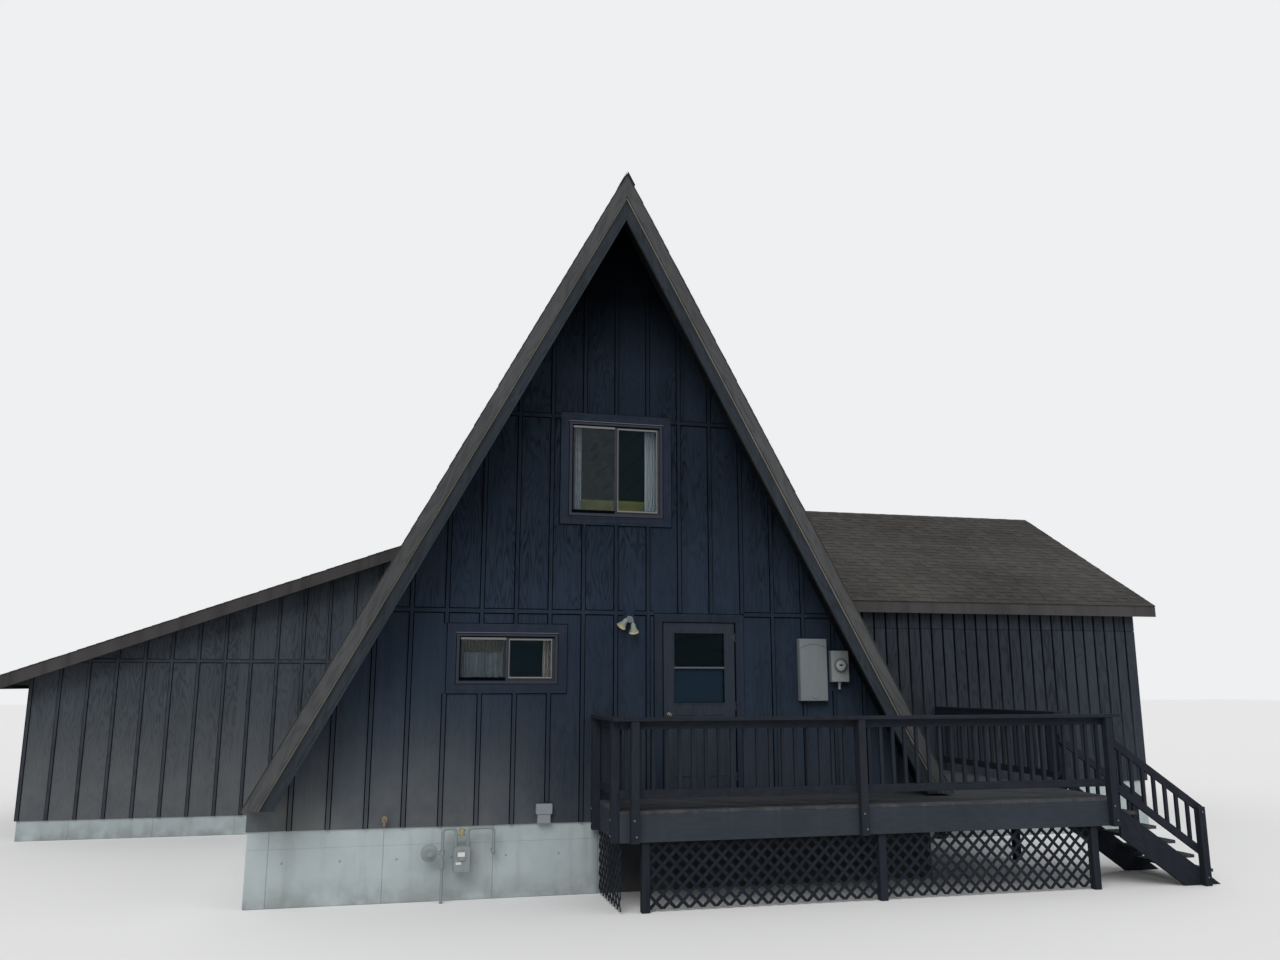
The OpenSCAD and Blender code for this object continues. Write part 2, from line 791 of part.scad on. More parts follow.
// Lean-to roof, cut along the face of the steep roof
module left_wing_roof() {
    foot_x = left_x + wing_overhang;
    foot_z = left_plate_z - wing_overhang * tan(left_angle);
    lift = wing_roof_t / cos(left_angle);
    reach = left_x * tan(left_angle);
    color("#403e3d") difference() {
        along_y(left_y - wing_overhang, left_back_y + wing_overhang)
            polygon([[-foot_x, foot_z], [0, left_plate_z + reach], [0, left_plate_z + reach + lift],
                     [-foot_x, foot_z + lift]]);
        house_prism();
    }
}

// Fascia boards on the three free edges of the lean-to roof, level with its top
module left_wing_fascia() {
    foot_x = left_x + wing_overhang + fascia_t;
    foot_z = left_plate_z - (wing_overhang + fascia_t) * tan(left_angle);
    lift = wing_roof_t / cos(left_angle);
    low = lift - fascia_depth / cos(left_angle);
    reach = left_x * tan(left_angle);
    y0 = left_y - wing_overhang;
    y1 = left_back_y + wing_overhang;
    color("#5c5650") difference() {
        along_y(y0 - fascia_t, y1 + fascia_t)
            polygon([[-foot_x, foot_z + low], [0, left_plate_z + reach + low],
                     [0, left_plate_z + reach + lift],
                     [-foot_x, foot_z + lift]]);
        block([-foot_x + fascia_t, y0, 0], [0, y1, ridge_z]);
        house_prism();
    }
}

// Turns what is at the front of the right wing to its back
module at_right_back() {
    translate([0, 2 * right_mid_y, 0]) mirror([0, 1, 0]) children();
}

// Right wing's front wall, against the house, with its top along the roof
module right_wing_front_wall() {
    top = right_plate_z - seat_gap;
    color("#3f3e40") difference() {
        along_x(0, right_x - wall_t)
            polygon([[right_y, platform_z], [right_y + wall_t, platform_z],
                     [right_y + wall_t, top + wall_t * tan(right_angle)], [right_y, top]]);
        house_prism();
    }
}

module right_wing_end_wall() {
    top = right_plate_z - seat_gap;
    color("#3f3e40") difference() {
        along_x(right_x - wall_t, right_x)
            polygon([[right_y, platform_z], [right_back_y, platform_z], [right_back_y, top],
                     [right_mid_y, right_peak_z - seat_gap], [right_y, top]]);
        at_right_end() hole_y(-window_w / 2, window_w / 2, platform_z + low_sill,
                              platform_z + low_sill + low_h, siding_y, wall_in_y);
    }
}

// One slope of the right wing's roof, from its ridge to its eave at the front
module right_wing_slope(depth0, depth1, run_out) {
    top = right_peak_z + wing_roof_t / cos(right_angle);
    foot_y = right_y - run_out;
    foot_z = top - (right_mid_y - foot_y) * tan(right_angle);
    drop0 = depth0 / cos(right_angle);
    drop1 = depth1 / cos(right_angle);
    polygon([[right_mid_y, top - drop0], [foot_y, foot_z - drop0], [foot_y, foot_z - drop1],
             [right_mid_y, top - drop1]]);
}

module right_wing_roof_front() {
    color("#403e3d") difference() {
        along_x(0, right_x + wing_overhang) right_wing_slope(0, wing_roof_t, eave_out);
        house_prism();
    }
}

module right_wing_roof_back() at_right_back() right_wing_roof_front();

// Fascia boards on both eaves and both rakes of the right wing's roof
module right_wing_fascia() {
    edge = right_x + wing_overhang;
    color("#5c5650") difference() {
        for (flip = [0, 1]) translate([0, flip * 2 * right_mid_y, 0]) mirror([0, flip, 0])
            along_x(0, edge + fascia_t) right_wing_slope(0, eave_depth, eave_out + fascia_t);
        block([-1, right_y - eave_out, 0], [edge, right_back_y + eave_out, ridge_z]);
        house_prism();
    }
}

// Rims, joists and the doubled beam over the front posts
module deck_frame() {
    x0 = -deck_left;
    x1 = deck_right;
    y0 = deck_front_y;
    z0 = rim_bottom_z;
    z1 = rim_top_z;
    front_joists = floor((x1 - x0 - board_t) / joist_pitch);
    side_joists = floor((right_y - siding_y - board_t) / joist_pitch);
    color("#3a3e46") {
        block([x0, y0, z0], [x1, y0 + board_t, z1]);
        block([x0, y0 + board_t, z0], [x1, y0 + (1 + beam_boards) * board_t, z1]);
        block([x0, y0, z0], [x0 + board_t, siding_y, z1]);
        block([x1 - board_t, y0, z0], [x1, right_y, z1]);
        block([x0, siding_y - board_t, z0], [x1, siding_y, z1]);
        block([side_deck_x, right_y - board_t, z0], [x1, right_y, z1]);
        block([side_deck_x, siding_y - board_t, z0], [side_deck_x + board_t, right_y, z1]);
        for (i = [1 : front_joists]) {
            x = x0 + i * joist_pitch;
            block([x, y0, z0], [x + board_t, siding_y, z1]);
        }
        for (i = [1 : side_joists]) {
            y = siding_y - board_t + i * joist_pitch;
            block([side_deck_x, y, z0], [x1, y + board_t, z1]);
        }
    }
}

module deck_floor() {
    color("#4a4d52") translate([0, 0, rim_top_z]) linear_extrude(deck_board_t)
        polygon([[-deck_left, deck_front_y], [deck_right, deck_front_y], [deck_right, right_y],
                 [side_deck_x, right_y], [side_deck_x, siding_y], [-deck_left, siding_y]]);
}

module deck_posts() {
    y = deck_front_y + board_t;
    color("#3a3e46") {
        for (x = front_post_xs) block([x - post_w / 2, y, 0], [x + post_w / 2, y + post_w, rim_bottom_z]);
        for (x = [side_deck_x, deck_right - post_w], y = [siding_y + side_post_y, right_y - post_w])
            block([x, y, 0], [x + post_w, y + post_w, rim_bottom_z]);
    }
}

// Posts bolted to the outside of the rim, up to the cap
module rail_posts() {
    color("#3a3e46") {
        for (x = rail_post_xs)
            block([x - post_w / 2, deck_front_y - post_w, rim_bottom_z],
                  [x + post_w / 2, deck_front_y, cap_z]);
        for (y = [deck_front_y + rail_post_back, siding_y - post_w - rail_post_back])
            block([-deck_left - post_w, y, rim_bottom_z], [-deck_left, y + post_w, cap_z]);
        for (y = [stair_back_y, right_y - post_w - rail_post_back])
            block([deck_right, y, rim_bottom_z], [deck_right + post_w, y + post_w, cap_z]);
    }
}

// Two rails over a length, from the origin along +X, and their balusters, which end inside the rails
module rail_run(length) {
    top = rail_h - board_t;
    count = floor((length - baluster_w) / baluster_pitch);
    first = (length - count * baluster_pitch - baluster_w) / 2;
    block([0, 0, bottom_rail_h - rail_d], [length, board_t, bottom_rail_h]);
    block([0, 0, top - rail_d], [length, board_t, top]);
    for (i = [0 : count]) {
        x = first + i * baluster_pitch;
        block([x, 0, bottom_rail_h - rail_d / 2], [x + baluster_w, baluster_w, top - rail_d / 2]);
    }
}

module front_railing() {
    length = deck_left + deck_right;
    out = post_w + cap_lip;
    color("#3d4048") translate([-deck_left, deck_front_y, deck_h]) {
        rail_run(length);
        block([-out, -out, rail_h - board_t], [length + out, cap_rail_w - out, rail_h]);
    }
}

// Railings along the deck's left and right ends
module side_railings() {
    left_l0 = siding_y - deck_front_y - board_t;
    right_l0 = right_y - stair_back_y;
    out = post_w + cap_lip;
    cap_in = cap_rail_w - out;
    color("#3d4048") {
        translate([-deck_left, deck_front_y + board_t, deck_h]) mirror([1, -1, 0]) rail_run(left_l0);
        block([-deck_left - out, deck_front_y + cap_in, cap_z],
              [-deck_left + cap_in, siding_y, cap_z + board_t]);
        translate([deck_right - board_t, stair_back_y, deck_h]) mirror([1, -1, 0]) rail_run(right_l0);
        block([deck_right - cap_in, stair_back_y - cap_lip, cap_z],
              [deck_right + out, right_y, cap_z + board_t]);
    }
}

// Flat lattice in X and Z: two layers of laths that cross, over a width and a height
module lattice(w, h) {
    reach = w + h;
    count = ceil(reach / diamond_w);
    for (side = [0, 1]) along_y(side * lath_t, (side + 1) * lath_t) intersection() {
        square([w, h]);
        for (i = [-count : 2 * count]) translate([i * diamond_w, 0])
            rotate(side == 0 ? 45 : 135) translate([-reach, -lath_w / 2]) square([3 * reach, lath_w]);
    }
}

// Lattice between the front posts and along the deck's left end
module lattice_skirt() {
    y = deck_front_y + board_t + post_w / 2;
    h = rim_bottom_z - skirt_gap;
    color("#2c3036") {
        for (i = [0 : len(front_post_xs) - 2]) {
            x0 = front_post_xs[i] + post_w / 2;
            x1 = front_post_xs[i + 1] - post_w / 2;
            translate([x0, y, skirt_gap]) lattice(x1 - x0, h);
        }
        translate([board_t / 2 + lath_t - deck_left, deck_front_y + board_t, skirt_gap])
            rotate([0, 0, 90]) lattice(deck_d - board_t, h);
    }
}

// Outline of a stringer in X and Z, from the deck's rim down to grade
module stringer_outline() {
    drop = rim_h / cos(stair_angle);
    top = deck_h - riser_h + stringer_lift;
    foot_x = deck_right + top / tan(stair_angle);
    heel_x = foot_x - drop / tan(stair_angle);
    polygon([[deck_right, top], [foot_x, 0], [heel_x, 0], [deck_right, top - drop]]);
}

module stair_stringers() {
    color("#3a3e46") for (y = [deck_front_y, stair_back_y - board_t])
        along_y(y, y + board_t) stringer_outline();
}

// Treads between the stringers
module stair_treads() {
    color("#4a4d52") for (i = [1 : risers - 1]) {
        x = deck_right + (i - 1) * tread_run;
        z = deck_h - i * riser_h;
        block([x, deck_front_y + board_t, z - board_t], [x + tread_d, stair_back_y - board_t, z]);
    }
}

// Handrails along both sides of the stair, over the stringers, each with its newel on the outside
module stair_railings() {
    newel_x = deck_right + stair_l - newel_setback;
    newel_top = deck_h - (newel_x - deck_right) * tan(stair_angle) + stair_rail_h - rail_d;
    color("#3d4048") {
        for (y = [deck_front_y, stair_back_y - board_t]) along_y(y, y + board_t) stair_rail_outline(newel_x);
        for (y = [deck_front_y - post_w, stair_back_y])
            block([newel_x, y, 0], [newel_x + post_w, y + post_w, newel_top]);
    }
}

// Sloping band in X and Z between two heights above the line of the nosings
module stair_band(x0, x1, low, high) {
    z0 = deck_h - (x0 - deck_right) * tan(stair_angle);
    z1 = deck_h - (x1 - deck_right) * tan(stair_angle);
    polygon([[x0, z0 + low], [x1, z1 + low], [x1, z1 + high], [x0, z0 + high]]);
}

// Both rails of the stair's railing and their balusters, which end inside the rails
module stair_rail_outline(newel_x) {
    rail = rail_d / cos(stair_angle);
    span = newel_x - deck_right;
    count = floor((span - baluster_w) / baluster_pitch);
    first = (span - count * baluster_pitch - baluster_w) / 2;
    stair_band(deck_right, newel_x + post_w + handrail_end, stair_rail_h - rail, stair_rail_h);
    stair_band(deck_right, newel_x + post_w, stair_low_rail, stair_low_rail + rail);
    for (i = [0 : count]) {
        x = deck_right + first + i * baluster_pitch;
        stair_band(x, x + baluster_w, stair_low_rail + rail / 2, stair_rail_h - rail / 2);
    }
}

// Bell of a flood lamp, from its neck along +Z, with its face set back in the mouth
module lamp_bell() {
    lip = 6;
    rotate_extrude() polygon([[0, 0], [0.4 * lamp_r, 0], [0.5 * lamp_r, 0.2 * lamp_l],
                              [0.55 * lamp_r, 0.5 * lamp_l], [0.95 * lamp_r, 0.9 * lamp_l], [lamp_r, lamp_l],
                              [lamp_r - lip, lamp_l], [lamp_r - lip, lamp_l - lip], [0, lamp_l - 2 * lip]]);
}

// Two lamps on one round box under the trim band, each hanging from its arm
module flood_lamps() {
    box_r = 42;
    box_d = 75;
    inside = 12;
    // Where each arm leaves the box, its tilt from straight up and its turn
    arms = [[-20, 30, 140, -75], [34, -14, 162, 6]];
    color("#b9a878") translate([lamp_x, siding_y, platform_z + lamp_rise]) {
        rotate([90, 0, 0]) cylinder(r = box_r, h = box_d);
        for (arm = arms) translate([arm[0], inside - box_d, arm[1]]) rotate([arm[2], 0, arm[3]]) {
            translate([0, 0, -10]) cylinder(r = 12, h = 60);
            translate([0, 0, 40]) lamp_bell();
        }
    }
}

// Box on the siding with its cover, its lower left corner at x and z
module wall_box(x, z, w, h, d, r) {
    lap = cover_t / 2;
    plate_y(x, x + w, z, z + h, r, siding_y - d, siding_y);
    plate_y(x + lap, x + w - lap, z + lap, z + h - lap, r, siding_y - d - cover_t, siding_y - d + 1);
}

// Panel box with its cover and the cover's latch
module electric_panel() {
    z = platform_z + panel_rise;
    mid = panel_x + panel_w / 2;
    latch_y = siding_y - panel_d - cover_t;
    color("#a8a9a6") {
        wall_box(panel_x, z, panel_w, panel_h, panel_d, 10);
        plate_y(mid - 30, mid + 30, z + 30, z + 60, 8, latch_y - 10, latch_y + 1);
    }
}

// Socket box with the round glass meter, and the conduit that comes out below it
module electric_meter() {
    stub = 90;
    hub = 30;
    mid = socket_x + socket_w / 2;
    color("#a3a5a2") {
        wall_box(socket_x, socket_z, socket_w, socket_h, socket_d, 10);
        translate([mid, siding_y - socket_d - cover_t + 1, socket_z + ring_rise]) rotate([90, 0, 0])
            rotate_extrude()
                polygon([[0, 0], [ring_r, 0], [ring_r, 22], [0.9 * ring_r, 26], [0.86 * ring_r, 62],
                         [0.78 * ring_r, 76], [0.6 * ring_r, 84], [0, 87]]);
        translate([mid, siding_y - socket_d / 2, socket_z - stub]) cylinder(r = conduit_r, h = stub + 1);
        translate([mid, siding_y - socket_d / 2, socket_z - hub]) cylinder(r = 1.3 * conduit_r, h = hub + 1);
    }
}

// Small box at the foot of the siding
module utility_box() {
    color("#8d8f90") wall_box(utility_x - utility_w / 2, stem_h, utility_w, utility_h, utility_d, 8);
}

// Pipe of the gas meter, from a point along an axis
module gas_pipe(x, z, turn, length) {
    translate([x, gas_y, z]) rotate(turn) cylinder(r = gas_pipe_r, h = length);
}

// Quarter bend at the upper end of a vertical gas pipe, towards the right (1) or the left (-1)
module gas_bend(x, side) {
    translate([x + side * gas_bend_r, gas_y, gas_top - gas_bend_r]) rotate([90, 0, side > 0 ? 180 : 0])
        rotate_extrude(angle = 90) translate([gas_bend_r, 0]) circle(r = gas_pipe_r);
}

// Two vertical gas pipes from their lower ends, joined by a level one over them
module gas_arch(left, left_z, right, right_z) {
    gas_pipe(left, left_z, [0, 0, 0], gas_top - gas_bend_r - left_z);
    gas_bend(left, 1);
    gas_pipe(left + gas_bend_r, gas_top, [0, 90, 0], right - left - 2 * gas_bend_r);
    gas_bend(right, -1);
    gas_pipe(right, right_z, [0, 0, 0], gas_top - gas_bend_r - right_z);
}

// Gas riser with its valve, the regulator beside it, the meter's body with its flange and dial,
// and the loop into the wall
module gas_meter() {
    $fn = 24;
    corner = 30;
    flange = 12;
    union_r = 1.6 * gas_pipe_r;
    body_z = gas_rise + gas_h;
    color("#8f9190") {
        gas_arch(gas_x, 0, gas_in_x, body_z - 5);
        gas_arch(gas_out_x, body_z - 5, gas_wall_x, gas_wall_z);
        gas_pipe(gas_wall_x, gas_wall_z, [-90, 0, 0], gas_out + siding_lap);
        translate([gas_wall_x, gas_y, gas_wall_z]) sphere(r = 1.4 * gas_pipe_r);
        gas_pipe(gas_x - regulator_out, regulator_z, [0, 90, 0], regulator_out);
        for (z = [regulator_z, valve_z])
            translate([gas_x, gas_y, z - union_r]) cylinder(r = union_r, h = 2 * union_r);
        translate([gas_x, gas_y, valve_z]) rotate([90, 0, 0])
            cylinder(r = 0.7 * gas_pipe_r, h = 3 * gas_pipe_r);
        translate([gas_x - regulator_out, gas_y + 50, regulator_z]) rotate([90, 0, 0]) rotate_extrude()
            polygon([[0, 0], [0.45 * regulator_r, 0], [0.5 * regulator_r, 30], [0.9 * regulator_r, 52],
                     [regulator_r, 52], [regulator_r, 64], [0.9 * regulator_r, 64], [0.6 * regulator_r, 82],
                     [0.35 * regulator_r, 84], [0.35 * regulator_r, 118], [0, 118]]);
        plate_y(gas_body_x + flange, gas_body_x + gas_w - flange, gas_rise + flange, body_z - flange / 2,
                corner, gas_y - gas_d / 2, gas_y + gas_d / 2);
        plate_y(gas_body_x, gas_body_x + gas_w, gas_rise, body_z, corner, gas_y - flange, gas_y);
        translate([gas_body_x + gas_w / 2, gas_y - gas_d / 2 + 1, gas_rise + 0.6 * gas_h]) rotate([90, 0, 0])
            cylinder(r = 42, h = 16);
        for (x = [gas_in_x, gas_out_x])
            translate([x, gas_y, body_z - 20]) cylinder(r = union_r, h = 50);
    }
}

// Hose tap on the siding: its plate, body, slanting spout and round handle
module hose_tap() {
    $fn = 24;
    reach = 70;
    lean = 35;
    color("#a0402c") translate([tap_x, siding_y, stem_h + tap_rise]) {
        rotate([90, 0, 0]) cylinder(r = 28, h = 8);
        rotate([90, 0, 0]) cylinder(r = 11, h = reach);
        translate([0, -reach, 0]) rotate([lean, 0, 0]) {
            translate([0, 0, -60]) cylinder(r = 13, h = 75);
            translate([0, 0, -62]) cylinder(r = 16, h = 14);
            cylinder(r = 6, h = 45);
            translate([0, 0, 42]) cylinder(r = 30, h = 8);
        }
    }
}

foundation();
left_wing_slab();
right_wing_foundation();
main_floor();
loft_floor();
right_wing_floor();
front_wall_left();
front_wall_right();
front_wall_upper();
back_wall();
roof_left();
roof_right();
ridge_cap();
front_barge_left();
front_barge_right();
rake_board_left();
rake_board_right();
back_barge_left();
back_barge_right();
front_window_frames();
front_window_sashes();
front_window_glass();
window_casings();
other_window_frames();
other_window_glass();
door_casing();
door_frame();
door_hinges();
door();
door_glass();
door_knob();
door_knuckles();
left_wing_front_wall();
left_wing_side_wall();
wing_back_walls();
left_wing_roof();
left_wing_fascia();
right_wing_front_wall();
right_wing_end_wall();
right_wing_roof_front();
right_wing_roof_back();
right_wing_fascia();
deck_frame();
deck_floor();
deck_posts();
rail_posts();
front_railing();
side_railings();
lattice_skirt();
stair_stringers();
stair_treads();
stair_railings();
flood_lamps();
electric_panel();
electric_meter();
utility_box();
gas_meter();
hose_tap();
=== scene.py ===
"""Dark A-frame cabin with a lean-to wing, a gabled wing, a railed deck and a stair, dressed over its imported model."""

from __future__ import annotations

import logging
import math
import random
from abc import ABC, abstractmethod
from dataclasses import dataclass
from enum import Enum
from typing import Any, Callable, Iterable, Sequence

import bmesh
import bpy
from mathutils import Euler, Matrix, Vector


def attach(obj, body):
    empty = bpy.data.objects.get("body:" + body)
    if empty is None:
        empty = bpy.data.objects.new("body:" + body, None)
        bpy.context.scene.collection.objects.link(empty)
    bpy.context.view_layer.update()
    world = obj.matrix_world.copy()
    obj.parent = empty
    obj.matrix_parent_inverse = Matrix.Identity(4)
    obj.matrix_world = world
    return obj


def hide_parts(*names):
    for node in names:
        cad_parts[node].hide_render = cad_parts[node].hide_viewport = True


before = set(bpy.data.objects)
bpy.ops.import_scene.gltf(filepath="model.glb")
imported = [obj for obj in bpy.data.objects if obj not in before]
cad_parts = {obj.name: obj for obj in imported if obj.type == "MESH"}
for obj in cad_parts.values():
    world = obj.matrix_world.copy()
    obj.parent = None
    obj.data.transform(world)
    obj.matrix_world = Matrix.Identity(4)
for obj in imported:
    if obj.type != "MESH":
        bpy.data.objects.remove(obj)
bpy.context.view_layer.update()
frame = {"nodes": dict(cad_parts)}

LOG = logging.getLogger("cabin")
ROOT, DOOR = "root", "door"
GRAIN, TONE = "grain", "tone"
UP, ACROSS, BACK = Vector((0.0, 0.0, 1.0)), Vector((1.0, 0.0, 0.0)), Vector((0.0, 1.0, 0.0))
BATTEN_PITCH = 0.4064
BOARD_PITCH = 0.14

Colour = tuple[float, float, float]
Span = tuple[float, float]
Point = Sequence[float]
Inputs = dict[int | str, Any]


def srgb(red: float, green: float, blue: float) -> Colour:
    """Return the linear values that shaders take for a colour of 0 to 255."""
    return tuple(((c / 255 + 0.055) / 1.055) ** 2.4 if c > 10 else c / 255 / 12.92 for c in (red, green, blue))


@dataclass(frozen=True)
class House:
    """Sizes of the main house, in metres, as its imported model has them."""

    half_width: float = 4.105
    length: float = 11.0
    slope: float = math.radians(61.9)
    roof: float = 0.140
    overhang: float = 0.500
    siding_foot: float = 0.800
    floor: float = 1.070
    front: float = -0.116
    wall: float = 0.150
    board: float = 0.038
    barge: float = 0.286
    rake: float = 0.140
    bands: Span = (3.238, 5.676)

    @property
    def back(self) -> float:
        """Return Y of the back wall's outer face."""
        return self.front + self.length

    @property
    def ridge(self) -> float:
        """Return the height of the steep roof's ridge."""
        return self.floor + self.half_width * math.tan(self.slope)

    @property
    def ends(self) -> Span:
        """Return Y of the front barge boards' front faces and of the back ones'."""
        return self.front - self.overhang - self.board, self.back + self.overhang

    def roof_x(self, z: float) -> float:
        """Return half the width of the roof's outer face at a height."""
        return (self.ridge - z) / math.tan(self.slope)

    def out(self, side: int) -> Vector:
        """Return the outward normal of the roof's left (-1) or right (1) slope."""
        return Vector((side * math.sin(self.slope), 0.0, math.cos(self.slope)))

    def down(self, side: int) -> Vector:
        """Return the downhill direction of the roof's left (-1) or right (1) slope."""
        return Vector((side * math.cos(self.slope), 0.0, -math.sin(self.slope)))


HOUSE = House()


@dataclass(frozen=True)
class Cut:
    """Plane that trims a board: what lies on its normal's side comes off."""

    point: Vector
    normal: Vector


# ---- shader building


class Wire:
    """Value in a node tree that can be reckoned with like a number."""

    def __init__(self, graph: Graph, socket: bpy.types.NodeSocket) -> None:
        """Hold a socket of a graph."""
        self.graph, self.socket = graph, socket

    def __add__(self, other: Any) -> Wire:
        """Return the sum."""
        return self.graph.math("ADD", self, other)

    def __sub__(self, other: Any) -> Wire:
        """Return the difference."""
        return self.graph.math("SUBTRACT", self, other)

    def __mul__(self, other: Any) -> Wire:
        """Return the product."""
        return self.graph.math("MULTIPLY", self, other)

    def __pow__(self, other: Any) -> Wire:
        """Return the power."""
        return self.graph.math("POWER", self, other)

    def __gt__(self, other: Any) -> Wire:
        """Return 1 where it is greater, else 0."""
        return self.graph.math("GREATER_THAN", self, other)

    def __lt__(self, other: Any) -> Wire:
        """Return 1 where it is less, else 0."""
        return self.graph.math("LESS_THAN", self, other)

    def fold(self, width: float) -> Wire:
        """Return it running up and down between 0 and a width."""
        return self.graph.math("PINGPONG", self, width)

    def scale(self, low: float, high: float, new_low: float = 0.0, new_high: float = 1.0) -> Wire:
        """Return it mapped from one range to another, clamped."""
        return self.graph.wire("ShaderNodeMapRange", {0: self, 1: low, 2: high, 3: new_low, 4: new_high}, clamp=True)

    def parts(self) -> list[Wire]:
        """Return the three values of a vector."""
        made = self.graph.node("ShaderNodeSeparateXYZ", {0: self})
        return [Wire(self.graph, socket) for socket in made.outputs]


class Graph:
    """Nodes of one tree, added and wired in one call each."""

    def __init__(self, tree: bpy.types.NodeTree) -> None:
        """Take an empty tree."""
        self.tree = tree

    def feed(self, node: bpy.types.Node, values: Inputs) -> None:
        """Set or link a node's inputs.

        Args:
            node: The node.
            values: Its inputs by name or number: a wire is linked, anything else is set.
        """
        for name, value in values.items():
            if isinstance(value, Wire):
                self.tree.links.new(value.socket, node.inputs[name])
            else:
                four = isinstance(value, tuple) and len(value) == 3 and node.inputs[name].type == "RGBA"
                node.inputs[name].default_value = (*value, 1.0) if four else value

    def node(self, kind: str, values: Inputs | None = None, **settings: Any) -> bpy.types.Node:
        """Add a node.

        Args:
            kind: Class name of the node.
            values: Its inputs by name or number.
            settings: Its other properties.

        Returns:
            The node.
        """
        made = self.tree.nodes.new(kind)
        for name, value in settings.items():
            setattr(made, name, value)
        self.feed(made, values or {})
        return made

    def wire(self, kind: str, values: Inputs | None = None, output: int | str = 0, **settings: Any) -> Wire:
        """Add a node and return one of its outputs.

        Args:
            kind: Class name of the node.
            values: Its inputs by name or number.
            output: Name or number of the output.
            settings: Its other properties.

        Returns:
            The output.
        """
        return Wire(self, self.node(kind, values, **settings).outputs[output])

    def math(self, operation: str, first: Any, second: Any = 0.0, clamp: bool = False) -> Wire:
        """Add a Math node and return its result."""
        return self.wire("ShaderNodeMath", {0: first, 1: second}, operation=operation, use_clamp=clamp)

    def layers(self, shade: Any, *coats: tuple[Any, Any]) -> Any:
        """Lay colours over a base.

        Args:
            shade: The base.
            coats: Mask and colour of each, from the lowest.

        Returns:
            The resulting colour.
        """
        for mask, colour in coats:
            shade = self.wire("ShaderNodeMix", {0: mask, 6: shade, 7: colour}, 2, data_type="RGBA")
        return shade

    def noise(self, vector: Wire, scale: Any, detail: float = 3.0, rough: float = 0.5) -> Wire:
        """Return the value of a noise."""
        return self.wire("ShaderNodeTexNoise", {"Vector": vector, "Scale": scale, "Detail": detail, "Roughness": rough})

    def vector(self, x: Any = 0.0, y: Any = 0.0, z: Any = 0.0) -> Wire:
        """Return a vector of three values."""
        return self.wire("ShaderNodeCombineXYZ", {0: x, 1: y, 2: z})

    def place(self) -> Wire:
        """Return the place on the object, in its own frame."""
        return self.wire("ShaderNodeTexCoord", output="Object")

    def bump(self, height: Wire, distance: float, strength: float = 1.0) -> Wire:
        """Return the normal of a bump over a height in 0 to 1 that stands for a distance in metres."""
        return self.wire("ShaderNodeBump", {"Height": height, "Distance": distance, "Strength": strength})

    def group(self, name: str, *values: Any) -> list[Wire]:
        """Place a node group.

        Args:
            name: Its name in GROUPS.
            values: What goes into its inputs, in order.

        Returns:
            Its outputs, in order.
        """
        inputs, outputs, build = GROUPS[name]
        tree = shader_group(name, inputs, outputs, build)
        made = self.node("ShaderNodeGroup", dict(zip(inputs, values)), node_tree=tree)
        return [Wire(self, made.outputs[label]) for label in outputs]


Build = Callable[..., Sequence[Wire]]


def shader_group(name: str, inputs: Sequence[str], outputs: Sequence[str], build: Build) -> bpy.types.NodeTree:
    """Return the node group of a name, built on its first use.

    Args:
        name: Name of the group.
        inputs: Names of its inputs: a vector, then values.
        outputs: Names of its outputs, all values.
        build: Builds the inside from the graph and the inputs and returns the outputs.

    Returns:
        The group.
    """
    if name in bpy.data.node_groups:
        return bpy.data.node_groups[name]
    tree = bpy.data.node_groups.new(name, "ShaderNodeTree")
    for label in inputs:
        kind = "NodeSocketVector" if label == inputs[0] else "NodeSocketFloat"
        tree.interface.new_socket(name=label, in_out="INPUT", socket_type=kind)
    for label in outputs:
        tree.interface.new_socket(name=label, in_out="OUTPUT", socket_type="NodeSocketFloat")
    graph = Graph(tree)
    entry = graph.node("NodeGroupInput")
    results = build(graph, *(Wire(graph, entry.outputs[label]) for label in inputs))
    graph.node("NodeGroupOutput", dict(zip(outputs, results)))
    return tree


def sawn_grain(graph: Graph, place: Wire, rings: Wire) -> Sequence[Wire]:
    """Build sawn timber: fibres along U and the loops of its year rings.

    Args:
        graph: The group's graph.
        place: Place along and over the grain.
        rings: Rings in the noise's range.

    Returns:
        The fibres and the rings.
    """
    along, over, _ = place.parts()
    fibre = graph.noise(graph.vector(along * 1.3, over * 95.0), 1.0, 5.0, 0.7)
    loops = graph.noise(graph.vector(along * 0.9, over * 5.2), 1.0, 1.8, 0.5)
    ring = (loops * rings + fibre * 0.5).fold(0.5)
    return fibre.scale(0.3, 0.7), ring.scale(0.12, 0.5)


def weathering(graph: Graph, place: Wire) -> Sequence[Wire]:
    """Build the weather on a wall.

    Args:
        graph: The group's graph.
        place: Place on the wall.

    Returns:
        Broad blotches, runs down the wall and splashes near grade.
    """
    x, y, z = place.parts()
    blotch = graph.noise(place, 0.8, 4.0, 0.55)
    runs = graph.noise(graph.vector((x + y) * 11.0, 0.0, z * 0.5), 1.0, 3.0, 0.6)
    low = z.scale(0.8, 2.8, 1.0, 0.0) ** 2.0
    splash = low * graph.noise(place, 1.6, 5.0, 0.65).scale(0.3, 0.65, 0.55, 1.0)
    return blotch.scale(0.3, 0.7), runs.scale(0.45, 0.75), splash


def granules(graph: Graph, place: Wire, scale: Wire) -> Sequence[Wire]:
    """Build a grainy surface.

    Args:
        graph: The group's graph.
        place: Place on the surface.
        scale: Scale of the fine grains.

    Returns:
        The fine grains and the mid-size mottles.
    """
    return graph.noise(place, scale, 2.0, 0.6).scale(0.3, 0.7), graph.noise(place, 14.0, 4.0, 0.6).scale(0.3, 0.7)


